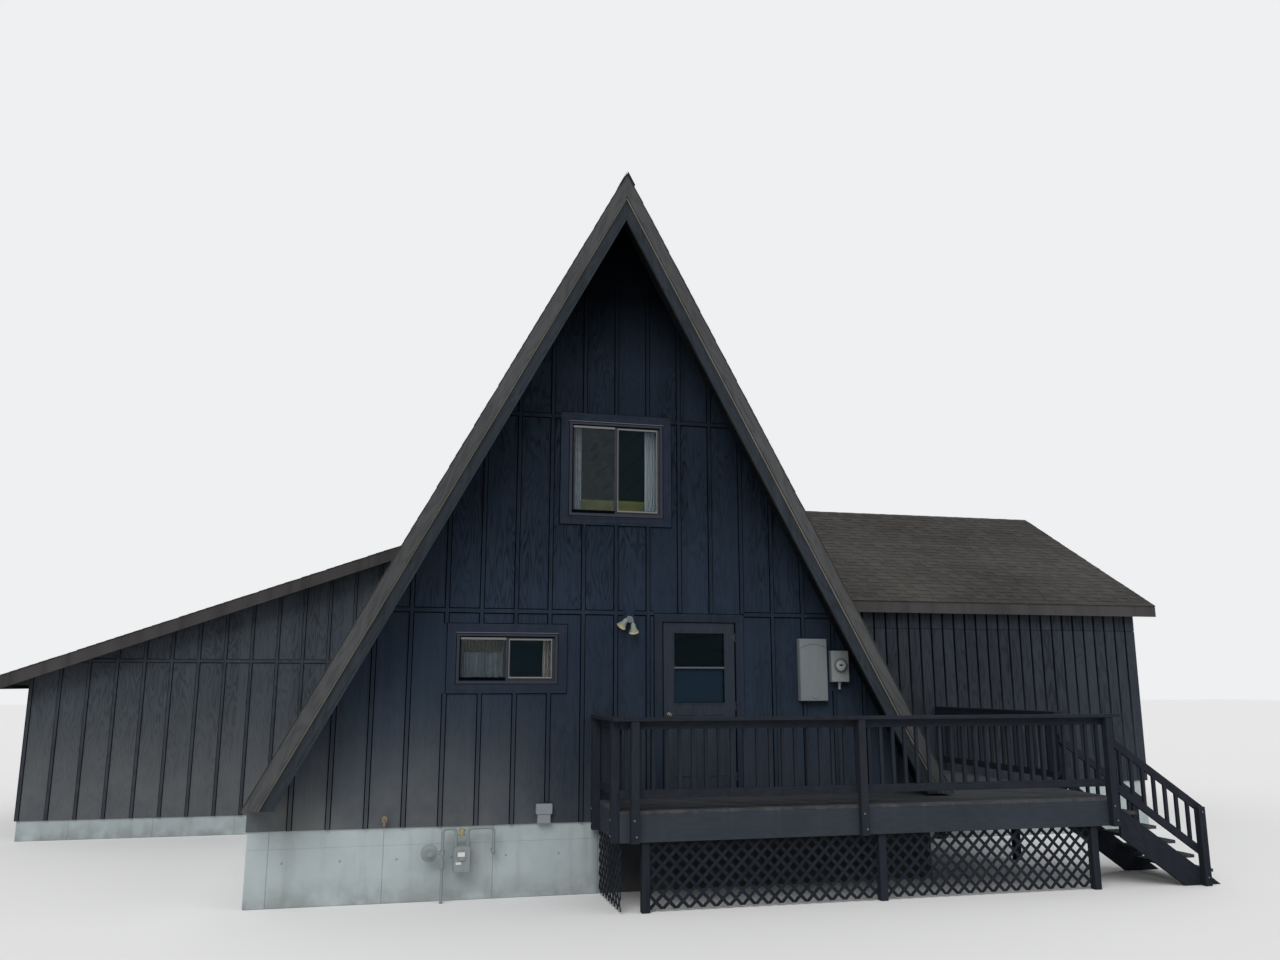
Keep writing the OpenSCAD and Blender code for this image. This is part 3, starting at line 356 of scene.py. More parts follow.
GROUPS: dict[str, tuple[Sequence[str], Sequence[str], Build]] = {
    "Sawn grain": (("Vector", "Rings per sheet"), ("Fibre", "Ring"), sawn_grain),
    "Weathering": (("Position",), ("Blotch", "Runs", "Splash"), weathering),
    "Granules": (("Position", "Scale"), ("Grain", "Mottle"), granules),
}


# ---- finishes


class Lay(Enum):
    """Where a timber finish reads the direction of its grain."""

    BOARD = "board"
    UPRIGHT = "upright"
    LEVEL_X = "level x"
    LEVEL_Y = "level y"


@dataclass(frozen=True)
class Lining:
    """Inner face of a wall: the part of a piece past a place on an axis, in another colour."""

    axis: int
    place: float
    side: int
    colour: Colour = srgb(176, 160, 134)
    end: float = math.inf

    def mask(self, parts: Sequence[Wire]) -> Wire:
        """Return 1 on the inner face and 0 elsewhere."""
        part = parts[self.axis]
        inside = part > self.place if self.side > 0 else part < self.place
        return inside * (part < self.end) if math.isfinite(self.end) else inside


MADE: dict[str, bpy.types.Material] = {}


@dataclass(frozen=True)
class Finish(ABC):
    """Surface of a real material, turned into one shader material on its first use."""

    name: str
    colour: Colour

    def material(self) -> bpy.types.Material:
        """Return this finish's material."""
        if self.name not in MADE:
            made = bpy.data.materials.new(f"{self.name}_finish")
            made.use_nodes = True
            graph = Graph(made.node_tree)
            graph.feed(made.node_tree.nodes["Principled BSDF"], self.values(graph))
            MADE[self.name] = made
        return MADE[self.name]

    def shade(self, factor: float) -> Colour:
        """Return this finish's colour made darker or lighter."""
        return tuple(min(part * factor, 1.0) for part in self.colour)

    @abstractmethod
    def values(self, graph: Graph) -> Inputs:
        """Build the finish's nodes.

        Args:
            graph: The material's graph.

        Returns:
            What goes into the shader's inputs, by name.
        """


@dataclass(frozen=True)
class Stain(Finish):
    """Stained or painted timber with its grain, its boards' tones and its weather."""

    bare: Colour = srgb(104, 106, 106)
    grain: float = 0.45
    wear: float = 0.05
    roughness: float = 0.8
    depth: float = 0.0006
    lay: Lay = Lay.BOARD
    rings: float = 9.0
    lining: Lining | None = None
    grooves: float = 0.0
    specular: float = 0.05
    tones: float = 0.3
    faded: float = 0.0
    patches_and_painted_shade: float = 0.0

    def values(self, graph: Graph) -> Inputs:
        """Build the grain, the tones, the wear, the painted shade and the relief."""
        place = graph.place()
        x, y, z = place.parts()
        run = {Lay.LEVEL_X: y, Lay.LEVEL_Y: x}.get(self.lay) or x + y
        if self.lay is Lay.BOARD:
            grain_at = graph.wire("ShaderNodeUVMap", uv_map=GRAIN)
            tone = graph.wire("ShaderNodeAttribute", output=2, attribute_name=TONE)
        else:
            grain_at = graph.vector({Lay.UPRIGHT: z, Lay.LEVEL_X: x, Lay.LEVEL_Y: y}[self.lay], run)
            width = BATTEN_PITCH if self.lay is Lay.UPRIGHT else BOARD_PITCH
            sheet = graph.math("FLOOR", graph.math("DIVIDE", run, width))
            tone = graph.wire("ShaderNodeTexWhiteNoise", {"W": sheet}, noise_dimensions="1D")
        fibre, ring = graph.group("Sawn grain", grain_at, self.rings)
        blotch, runs, splash = graph.group("Weathering", place)
        dark, light = self.shade(0.12), self.shade(1.5)
        strength, splash = ring ** 1.4 * self.grain, splash * self.faded
        # When set, the rings come in patches and fade low on the wall, and the pale splashes thin out to the right:
        # painted shade beside the deck.
        if self.patches_and_painted_shade:
            patches = graph.noise(place, 1.1, 2.0).scale(0.4, 0.6, 0.3, 1.15)
            strength = graph.math("MULTIPLY", strength * patches, z.scale(2.9, 4.2, 0.4, 1.0), clamp=True)
            splash = splash * x.scale(-1.5, -0.6, 1.15, 0.3)
        worn = graph.math("ADD", runs * self.wear, splash, clamp=True)
        shade = graph.layers(self.colour, (strength, dark), (fibre * (0.35 * self.grain), light),
                             (tone ** 2.0 * self.tones, light), (blotch * 0.25, dark), (worn, self.bare))
        # Painted shade of the roof's overhang: darker from 3.4 m up and near black towards the peak, as strong as the
        # value set.
        if self.patches_and_painted_shade:
            height = z.scale(3.4, 4.8, 0.0, 0.42) + z.scale(6.3, 7.3, 0.0, 0.58)
            shade = graph.layers(shade, (height * self.patches_and_painted_shade, self.shade(0.05)))
        if self.lining:
            shade = graph.layers(shade, (self.lining.mask((x, y, z)), self.lining.colour))
        relief = fibre * 0.7 + ring * 0.5
        if self.grooves:
            groove = run.fold(self.grooves / 2).scale(0.0, 0.004, 1.0, 0.0)
            shade = graph.layers(shade, (groove * 0.8, dark))
            relief = relief - groove * 4.0
        rough = fibre.scale(0.0, 1.0, self.roughness - 0.08, min(self.roughness + 0.1, 1.0))
        return {"Base Color": shade, "Roughness": rough, "Normal": graph.bump(relief, self.depth),
                "Specular IOR Level": self.specular}


@dataclass(frozen=True)
class Platform(Stain):
    """Edge of a floor platform in the siding's stain, with grooved boards on its top and underside."""

    boards: Colour = srgb(118, 86, 56)

    def values(self, graph: Graph) -> Inputs:
        """Build both faces and choose by the way a face looks."""
        given = super().values(graph)
        x, y, _ = graph.place().parts()
        level = graph.math("ABSOLUTE", graph.wire("ShaderNodeNewGeometry", output="Normal").parts()[2])
        _, ring = graph.group("Sawn grain", graph.vector(y, x), 9.0)
        dark = tuple(part * 0.3 for part in self.boards)
        groove = x.fold(BOARD_PITCH / 2).scale(0.0, 0.003, 1.0, 0.0)
        upper = graph.layers(self.boards, (ring * 0.4, dark), (groove, dark))
        given["Base Color"] = graph.layers(given["Base Color"], (level > 0.5, upper))
        return given


@dataclass(frozen=True)
class Concrete(Finish):
    """Poured concrete with the marks of its forms, pores, a damp foot and the deck's shade."""

    form: float = 0.61

    def values(self, graph: Graph) -> Inputs:
        """Build the forms' joints and tie holes, the mottles, the stains, the painted shade under the deck and the
        pores.
        """
        place = graph.place()
        x, y, z = place.parts()
        flat = x + y
        seam = (flat + 0.3).fold(self.form).scale(0.0, 0.006, 1.0, 0.0)
        course = z.fold(self.form / 2).scale(0.0, 0.005, 0.5, 0.0)
        across, height = (flat + 0.15).fold(self.form / 2), z - 0.46
        hole = graph.math("SQRT", across ** 2.0 + height * height).scale(0.011, 0.014, 1.0, 0.0)
        marks = graph.math("MAXIMUM", graph.math("MAXIMUM", seam, course), hole)
        mottle = graph.noise(place, 3.2, 6.0, 0.62).scale(0.3, 0.7)
        cloud = graph.noise(place, 0.9).scale(0.3, 0.7)
        pore = graph.noise(place, 60.0, 2.0).scale(0.66, 0.74)
        damp = z.scale(0.0, 0.30, 1.0, 0.0) * graph.noise(place, 5.0).scale(0.3, 0.6)
        streak = graph.noise(graph.vector(flat * 6.0, 0.0, z * 0.9), 1.0).scale(0.52, 0.75)
        # Painted shade of the deck: the concrete under and behind it goes near black.
        under = x.scale(-0.30, -0.05) * (y + x * 0.5 < 2.2)
        shade = graph.layers(self.colour, (mottle * 0.35, self.shade(0.62)), (cloud * 0.22, self.shade(1.2)),
                             (streak * 0.22, srgb(96, 92, 84)), (under * 0.93, srgb(14, 17, 21)),
                             (marks * 0.45, srgb(84, 84, 82)), (damp * 0.45, srgb(92, 90, 84)))
        relief = mottle * 0.5 - (marks * 1.6 + pore)
        return {"Base Color": shade, "Roughness": mottle.scale(0.0, 1.0, 0.82, 0.95),
                "Normal": graph.bump(relief, 0.002), "Specular IOR Level": 0.3}


@dataclass(frozen=True)
class Coat(Finish):
    """Paint, lacquer or bare metal, with dust in broad blotches, faint runs and specks of rust."""

    roughness: float = 0.45
    metallic: float = 0.0
    dust: float = 0.18
    rust: float = 0.0
    specular: float = 0.5
    painted_shade_from: float | None = None

    def values(self, graph: Graph) -> Inputs:
        """Build the mottles, the dust, the rust and the painted shade deep in a frame."""
        place = graph.place()
        blotch, runs, _ = graph.group("Weathering", place)
        grain, mottle = graph.group("Granules", place, 420.0)
        shade = graph.layers(self.colour, (mottle * 0.22, self.shade(0.6)),
                             ((runs + blotch) * (self.dust * 0.6), srgb(142, 138, 130)))
        if self.rust:
            spots = graph.noise(place, 38.0, 4.0, 0.7).scale(0.56, 0.7)
            shade = graph.layers(shade, (spots * self.rust, srgb(98, 60, 38)))
        # Painted shade deep in a frame: near black behind the given Y.
        if self.painted_shade_from is not None:
            shade = graph.layers(shade, ((place.parts()[1] > self.painted_shade_from) * 0.8, srgb(12, 15, 20)))
        rough = mottle.scale(0.0, 1.0, max(self.roughness - 0.08, 0.05), self.roughness + 0.14)
        return {"Base Color": shade, "Roughness": rough, "Normal": graph.bump(grain, 0.00012, 0.5),
                "Metallic": self.metallic, "Specular IOR Level": self.specular}


@dataclass(frozen=True)
class RoofGranules(Finish):
    """Mineral-faced shingles, each tab in a tone of its own."""

    def values(self, graph: Graph) -> Inputs:
        """Build the tabs' tones and the granules."""
        place = graph.place()
        tone = graph.wire("ShaderNodeAttribute", output=2, attribute_name=TONE)
        grain, mottle = graph.group("Granules", place, 520.0)
        cloud = graph.noise(place, 0.6).scale(0.4, 0.7)
        dark = self.shade(0.45)
        shade = graph.layers(dark, (tone.scale(0.0, 1.0, 0.0, 0.75), self.colour),
                             (grain.scale(0.5, 1.0) * 0.5, self.shade(1.9)), (mottle * 0.25, dark),
                             (cloud * 0.18, srgb(98, 98, 92)))
        return {"Base Color": shade, "Roughness": 0.94, "Normal": graph.bump(grain, 0.0012, 0.8),
                "Specular IOR Level": 0.25}


@dataclass(frozen=True)
class Glass(Finish):
    """Window glass, faintly tinted, with dust at its surface."""

    roughness: float = 0.02
    sheen: Colour = (0.10, 0.19, 0.24)

    def values(self, graph: Graph) -> Inputs:
        """Build the tint and the dust."""
        blotch, runs, _ = graph.group("Weathering", graph.place())
        shade = graph.layers(self.colour, (blotch * 0.12, self.shade(0.85)))
        return {"Base Color": shade, "Roughness": runs.scale(0.0, 1.0, self.roughness, self.roughness + 0.05),
                "Transmission Weight": 1.0, "IOR": 1.45, "Specular IOR Level": 0.25, "Specular Tint": self.sheen}


@dataclass(frozen=True)
class Cloth(Finish):
    """Curtain cloth with its weave and, where asked, stripes along its drop."""

    stripe: Colour | None = None
    pitch: float = 0.06
    thread: float = 0.0008

    def values(self, graph: Graph) -> Inputs:
        """Build the weave, the slubs and the stripes."""
        over, drop, _ = graph.wire("ShaderNodeUVMap", uv_map=GRAIN).parts()
        weave = (over.fold(self.thread) + drop.fold(self.thread)) * 600.0
        slub = graph.noise(graph.vector(over * 300.0, drop * 12.0), 1.0, 2.0).scale(0.3, 0.7)
        shade = graph.layers(self.colour, (slub * 0.25, self.shade(0.7)))
        if self.stripe:
            band = over.fold(self.pitch / 2).scale(0.3 * self.pitch, 0.32 * self.pitch)
            shade = graph.layers(shade, (band * 0.8, self.stripe))
        return {"Base Color": shade, "Roughness": 0.9, "Normal": graph.bump(weave, 0.0004, 0.5),
                "Sheen Weight": 0.25, "Specular IOR Level": 0.2}


@dataclass(frozen=True)
class Screen(Finish):
    """Insect screen: fine dark wires with open holes between them, seen as a haze."""

    cover: float = 0.11

    def values(self, graph: Graph) -> Inputs:
        """Build the haze, denser where dust sits in it."""
        haze = graph.noise(graph.place(), 9.0, 4.0).scale(0.3, 0.7, self.cover - 0.05, self.cover + 0.07)
        return {"Base Color": graph.layers(self.colour, (haze, self.shade(1.25))), "Roughness": 0.7, "Alpha": haze}


# ---- finishes in use

# The third colour, near black, goes on the gabled wing's sheets, which show only between its boards: painted shade
# there.
SIDING, BROWN, BEHIND_BOARDS_SHADE = srgb(37, 47, 60), srgb(67, 73, 80), srgb(7, 9, 13)
WORN = srgb(84, 84, 84)
SHEETS: dict[str, Any] = {"wear": 0.03, "depth": 0.0011, "lay": Lay.UPRIGHT, "rings": 12.0, "tones": 0.45,
                          "faded": 0.7, "specular": 0.02}
# Strength of the painted shade towards the peak on the front walls and the floor's edge.
PATCHES_AND_PAINTED_SHADE = 0.97

# The battens take the painted shade towards the peak almost fully, the casings in part.
BATTEN = Stain("batten_stain", srgb(36, 45, 57), grain=0.5, faded=0.4, patches_and_painted_shade=0.95, specular=0.02)
CASING = Stain("casing_stain", srgb(37, 45, 57), grain=0.4, patches_and_painted_shade=0.35)
# Near-black strips along battens, casings, mouldings and frames: painted shadow at their edges, fainter on the lean-to
# wing.
FAINT_SHADOW_LINE = Stain("faint_seam_shadow", srgb(34, 36, 39), grain=0.2, wear=0.0, specular=0.0)
SHADOW_LINE = Stain("seam_shadow", srgb(6, 10, 18), grain=0.2, wear=0.0, specular=0.0)
BROWN_BATTEN = Stain("brown_batten_stain", srgb(62, 66, 73), grain=0.4)
WING_BOARD = Stain("wing_board_stain", srgb(48, 53, 60), grain=0.6, tones=0.5)
TAUPE_PAINT = Stain("taupe_paint", srgb(74, 75, 76), bare=srgb(112, 111, 108), grain=0.35, wear=0.08)
BARGE_PAINT = Stain("barge_paint", srgb(47, 53, 59), grain=0.35, wear=0.06)
PALE_PAINT = Stain("pale_paint", srgb(120, 116, 108), grain=0.25, wear=0.1)
DECK_STAIN = Stain("deck_stain", srgb(37, 41, 48), bare=WORN, grain=0.25)
RIM_STAIN = Stain("rim_stain", srgb(53, 58, 66), bare=WORN, grain=0.14, wear=0.04)
BOARD_STAIN = Stain("worn_deck_stain", srgb(62, 65, 70), bare=srgb(104, 101, 96), grain=0.5, wear=0.3)
LATTICE_STAIN = Stain("lattice_stain", srgb(34, 39, 46), grain=0.3, wear=0.02)
INNER_WOOD = Stain("inner_wood", srgb(124, 120, 62), bare=srgb(136, 130, 80), grain=0.3, roughness=0.5)
DOOR_PAINT = Stain("door_paint", srgb(48, 55, 65), grain=0.15, wear=0.04, roughness=0.6, depth=0.0002,
                   lay=Lay.UPRIGHT, tones=0.0)
BRONZE = Coat("bronze_frame", srgb(46, 50, 60), 0.5, dust=0.02, specular=0.1, painted_shade_from=HOUSE.front + 0.002)
BRONZE_SASH = Coat("bronze_sash", srgb(48, 51, 59), 0.5, dust=0.02, specular=0.1)
BEAD = Coat("pale_bead", srgb(108, 110, 110), 0.5, dust=0.05, specular=0.2)
LIP_BRONZE = Coat("lip_bronze", srgb(92, 94, 102), 0.45, dust=0.02, specular=0.2)
GALVANISED = Coat("galvanised", srgb(120, 122, 122), 0.45, 0.7, dust=0.1)
DARK_STEEL = Coat("dark_steel", srgb(58, 58, 60), 0.5, 0.6, rust=0.25)
SHINGLE = RoofGranules("roof_granules", srgb(62, 60, 58))


def siding(name: str, lining: Lining | None, colour: Colour = SIDING, patches_and_painted_shade: float = 0.0) -> Stain:
    """Return the finish of rough-sawn sheets on a wall."""
    return Stain(name, colour, grain=0.9 if patches_and_painted_shade else 0.5, lining=lining, patches_and_painted_shade=patches_and_painted_shade, **SHEETS)


def give(finish: Finish, *nodes: str) -> None:
    """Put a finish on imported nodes."""
    for node in nodes:
        slots = frame["nodes"][node].data.materials
        slots.clear()
        slots.append(finish.material())


# ---- mesh building

SMOOTH_UNDER = math.radians(35)
EASED_OVER = math.radians(40)


def dress(name: str, mesh: bmesh.types.BMesh, finish: Finish, body: str = ROOT,
          replaces: Sequence[str] = (), bevel: float = 0.0, smooth: bool = False) -> bpy.types.Object:
    """Turn a finished bmesh into a piece of the model.

    Args:
        name: Name of the piece.
        mesh: Its mesh, freed here.
        finish: Its finish.
        body: The body that it rides on.
        replaces: Nodes that it stands for.
        bevel: Width of the eased edges, 0 for none.
        smooth: Whether its faces are shaded smooth where they meet at under 35 degrees.

    Returns:
        The piece.
    """
    data = bpy.data.meshes.new(name)
    bmesh.ops.recalc_face_normals(mesh, faces=mesh.faces)
    mesh.to_mesh(data)
    mesh.free()
    data.materials.append(finish.material())
    made = bpy.data.objects.new(name, data)
    bpy.context.scene.collection.objects.link(made)
    if smooth:
        data.shade_smooth()
        data.set_sharp_from_angle(angle=SMOOTH_UNDER)
    if bevel:
        eased = made.modifiers.new("eased edges", "BEVEL")
        eased.width, eased.segments = bevel, 2
        eased.limit_method, eased.angle_limit = "ANGLE", EASED_OVER
    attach(made, body)
    if replaces:
        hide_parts(*replaces)
    LOG.info("%s: %d faces", name, len(data.polygons))
    return made


@dataclass(frozen=True)
class Wall:
    """Outer face of a wall: a point on it at grade, the way along it to the right, and the way out of it."""

    origin: Vector
    right: Vector
    out: Vector

    def at(self, along: float, z: float, out: float = 0.0) -> Vector:
        """Return the point at a place along the wall, a height and a distance out."""
        return self.origin + self.right * along + UP * z + self.out * out


FRONT = Wall(BACK * HOUSE.front, ACROSS, -BACK)
REAR = Wall(BACK * HOUSE.back, -ACROSS, BACK)


class Timber:
    """Boards of one piece, each with its grain along its length and a tone of its own."""

    def __init__(self, name: str) -> None:
        """Start an empty piece, whose name seeds its boards' tones and grain."""
        self.name = name
        self.chance = random.Random(f"{name} 0")
        self.mesh = bmesh.new()
        self.grain = self.mesh.loops.layers.uv.new(GRAIN)
        self.tone = self.mesh.loops.layers.float.new(TONE)

    def board(self, middle: Vector, along: Vector, across: Vector, size: Point, cuts: Sequence[Cut] = ()) -> None:
        """Add a board.

        Args:
            middle: Its middle.
            along: Direction of its length and its grain.
            across: Direction of its width.
            size: Its length, width and thickness.
            cuts: Planes that trim it.
        """
        along = along.normalized()
        through = along.cross(across).normalized()
        across = through.cross(along)
        turn = Matrix((along, across, through)).transposed().to_4x4()
        place = Matrix.Translation(middle) @ turn @ Matrix.Diagonal((*size, 1.0))
        verts = bmesh.ops.create_cube(self.mesh, size=1.0, matrix=place)["verts"]
        faces = list({face for vert in verts for face in vert.link_faces})
        for cut in cuts:
            faces = self._trim(faces, cut)
        self._grain(faces, middle, (along, across, through))

    def _trim(self, faces: Sequence[bmesh.types.BMFace], cut: Cut) -> list[bmesh.types.BMFace]:
        """Cut a board's faces with a plane, close the cut and return the faces that are left."""
        parts = list({part for face in faces for part in (*face.verts, *face.edges, face)})
        result = bmesh.ops.bisect_plane(self.mesh, geom=parts, dist=1e-6, plane_co=cut.point, plane_no=cut.normal,
                                        clear_outer=True)
        left = [part for part in result["geom"] if part.is_valid and isinstance(part, bmesh.types.BMFace)]
        rim = [part for part in result["geom_cut"] if part.is_valid and isinstance(part, bmesh.types.BMEdge)]
        if rim:
            left += bmesh.ops.holes_fill(self.mesh, edges=rim, sides=0)["faces"]
        return left

    def _grain(self, faces: Iterable[bmesh.types.BMFace], middle: Vector, axes: Sequence[Vector]) -> None:
        """Write a board's grain coordinates and tone."""
        shift = (self.chance.uniform(0, 40), self.chance.uniform(0, 40))
        tone = self.chance.random()
        along, across, through = axes
        for face in faces:
            for loop in face.loops:
                local = loop.vert.co - middle
                over = local.dot(across) + local.dot(through)
                loop[self.grain].uv = (local.dot(along) + shift[0], over + shift[1])
                loop[self.tone] = tone

    def box(self, low: Point, high: Point, along: Vector) -> None:
        """Add a board between its lowest and highest corners, with its grain along an axis."""
        low, high = Vector(low), Vector(high)
        across = BACK if abs(along.x) > 0.5 else ACROSS
        size = [abs((high - low).dot(axis)) for axis in (along, across, along.cross(across))]
        self.board((low + high) / 2, along, across, size)

    def upright(self, wall: Wall, place: float, span: Span, wide: float, thick: float,
                cuts: Sequence[Cut] = ()) -> None:
        """Add an upright board on a wall by its middle along the wall and the heights of its ends."""
        low, high = span
        self.board(wall.at(place, (low + high) / 2, thick / 2), UP, wall.right, (high - low, wide, thick), cuts)

    def level(self, wall: Wall, span: Span, z: float, wide: float, thick: float, cuts: Sequence[Cut] = ()) -> None:
        """Add a level board on a wall by its ends along the wall and the height of its middle."""
        left, right = span
        self.board(wall.at((left + right) / 2, z, thick / 2), wall.right, UP, (right - left, wide, thick), cuts)

    def ring(self, xs: Span, zs: Span, ys: Span, wide: float, stile: float | None = None) -> None:
        """Add four mouldings inside a rectangle that faces the front.

        Args:
            xs: X of its left and right edges.
            zs: Heights of its lower and upper edges.
            ys: Y of the mouldings' two faces.
            wide: Width of the level mouldings.
            stile: Width of the upright ones, the same where it isn't given.
        """
        (left, right), (low, high), (front, back) = xs, zs, ys
        stile = stile or wide
        for z in (low, high - wide):
            self.box((left, front, z), (right, back, z + wide), ACROSS)
        for x in (left, right - stile):
            self.box((x, front, low + wide), (x + stile, back, high - wide), UP)

    def piece(self, finish: Finish, slot: str, replaces: Sequence[str] = (), body: str = ROOT,
              bevel: float = 0.002) -> bpy.types.Object:
        """Finish the piece and return its object."""
        return dress(self.name, self.mesh, finish, body, replaces, bevel)


def facing(point: Point, out: Vector) -> Matrix:
    """Return the place of a Z axis that starts at a point and leads out."""
    return Matrix.Translation(point) @ out.to_track_quat("Z", "Y").to_matrix().to_4x4()


class Turned:
    """Turned bodies of one piece."""

    def __init__(self, name: str) -> None:
        """Start an empty piece."""
        self.name, self.mesh = name, bmesh.new()

    def add(self, place: Matrix, steps: int, *profile: Span) -> Turned:
        """Turn a profile round the Z axis and put it in its place.

        Args:
            place: Where the Z axis goes.
            steps: Number of sides.
            profile: Radius and height of each point in millimetres, from one pole or rim to the other.

        Returns:
            This piece.
        """
        mesh, before = self.mesh, set(self.mesh.verts)
        points = [mesh.verts.new((radius / 1000, 0.0, height / 1000)) for radius, height in profile]
        edges = [mesh.edges.new(pair) for pair in zip(points, points[1:])]
        bmesh.ops.spin(mesh, geom=[*points, *edges], cent=(0, 0, 0), axis=UP, angle=math.tau, steps=steps,
                       use_merge=True)
        bmesh.ops.remove_doubles(mesh, verts=[vert for vert in mesh.verts if vert not in before], dist=1e-6)
        bmesh.ops.transform(mesh, matrix=place, verts=[vert for vert in mesh.verts if vert not in before])
        return self

    def piece(self, finish: Finish, slot: str, replaces: Sequence[str] = (), smooth: bool = True) -> bpy.types.Object:
        """Finish the piece and return its object."""
        return dress(self.name, self.mesh, finish, ROOT, replaces, smooth=smooth)


@dataclass(frozen=True)
class Heads:
    """Heads of bolts or screws, which stand out of their boards."""

    radius: float
    height: float
    finish: Coat
    sides: int = 6

    def build(self, name: str, spots: Iterable[tuple[Vector, Vector]]) -> bpy.types.Object:
        """Make one piece of heads.

        Args:
            name: Name of the piece.
            spots: Place and outward direction of each head.

        Returns:
            The piece.
        """
        mesh = bmesh.new()
        for point, out in spots:
            place = facing(point - out * 0.001, out) @ Matrix.Translation((0, 0, self.height / 2))
            bmesh.ops.create_cone(mesh, cap_ends=True, segments=self.sides, radius1=self.radius,
                                  radius2=self.radius * 0.9, depth=self.height, matrix=place)
        return dress(name, mesh, self.finish)


SCREWS = Heads(0.004, 0.0016, DARK_STEEL)
QUARTERS = (0.25, 0.75)
BOLTS = Heads(0.011, 0.009, GALVANISED)


# ---- walls


@dataclass(frozen=True)
class Keep:
    """Rectangle of a wall that its boards leave free."""

    left: float
    right: float
    low: float
    high: float

    def mirrored(self) -> Keep:
        """Return it on the other side of the middle."""
        return Keep(-self.right, -self.left, self.low, self.high)


@dataclass(frozen=True)
class Opening:
    """Place of a window or door on its wall."""

    middle: float
    sill: float
    width: float = 1.219
    height: float = 0.610

    @property
    def sides(self) -> Span:
        """Return its left and right edges."""
        return self.middle - self.width / 2, self.middle + self.width / 2

    @property
    def top(self) -> float:
        """Return the height of its upper edge."""
        return self.sill + self.height

    def keep(self, margin: float = 0.1) -> Keep:
        """Return the rectangle that its casing takes."""
        left, right = self.sides
        return Keep(left - margin, right + margin, self.sill - margin, self.top + margin)


TALL = Opening(0.0, HOUSE.floor + 3.345, height=1.219)
LOW = Opening(-1.309, HOUSE.floor + 1.305)
SHEET = 0.019
SHADOW = 0.0016
# How much wider a batten's painted shadow strip is than the batten.
SHADOW_MARGIN = 0.022


def clear_spans(span: Span, taken: Iterable[Span]) -> list[Span]:
    """Return what is left of a span, in order, once others are taken out of it."""
    left = [span]
    for low, high in taken:
        left = [part for start, end in left for part in ((start, min(end, low)), (max(start, high), end))
                if part[1] - part[0] > 0.004]
    return left


@dataclass
class Battens:
    """Upright battens over the joints of a wall's sheets, and the level ones between them."""

    name: str
    wall: Wall
    places: Sequence[float]
    low: float
    high: float
    bands: Sequence[float] = ()
    keeps: Sequence[Keep] = ()
    cuts: Sequence[Cut] = ()
    band_ends: Span = (-3.5, 3.5)
    width: float = 0.040
    band_width: float = 0.046

    def build(self, finish: Stain, slot: str, gap: Stain = SHADOW_LINE) -> None:
        """Build the battens and the painted shadow strips beside them.

        Args:
            finish: The battens' finish.
            slot: The record's material slot.
            gap: The finish of the painted shadow strips.
        """
        boards, shadow_strips = Timber(self.name), Timber(f"{self.name}_seams")
        half, deep = self.width / 2, self.band_width / 2
        for place in self.places:
            taken = [(keep.low, keep.high) for keep in self.keeps
                     if keep.left < place + half and place - half < keep.right]
            for span in clear_spans((self.low, self.high), taken):
                boards.upright(self.wall, place, span, self.width, SHEET, self.cuts)
                # Behind each batten, a thin dark strip a little wider: painted shadow along its edges.
                shadow_strips.upright(self.wall, place, span, self.width + SHADOW_MARGIN, SHADOW, self.cuts)
        for band in self.bands:
            taken = [(place - half, place + half) for place in self.places]
            taken += [(keep.left, keep.right) for keep in self.keeps
                      if keep.low < band + deep and band - deep < keep.high]
            for left, right in clear_spans(self.band_ends, taken):
                ends = (left + 0.0005, right - 0.0005)
                boards.level(self.wall, ends, band, self.band_width, SHEET - 0.002, self.cuts)
                # Behind each level band, the same painted shadow strip.
                ends = (left + SHADOW_MARGIN / 2, right - SHADOW_MARGIN / 2)
                shadow_strips.level(self.wall, ends, band, self.band_width + SHADOW_MARGIN, 0.0012, self.cuts)
        shadow_strips.piece(gap, slot, bevel=0.0)
        boards.piece(finish, slot)


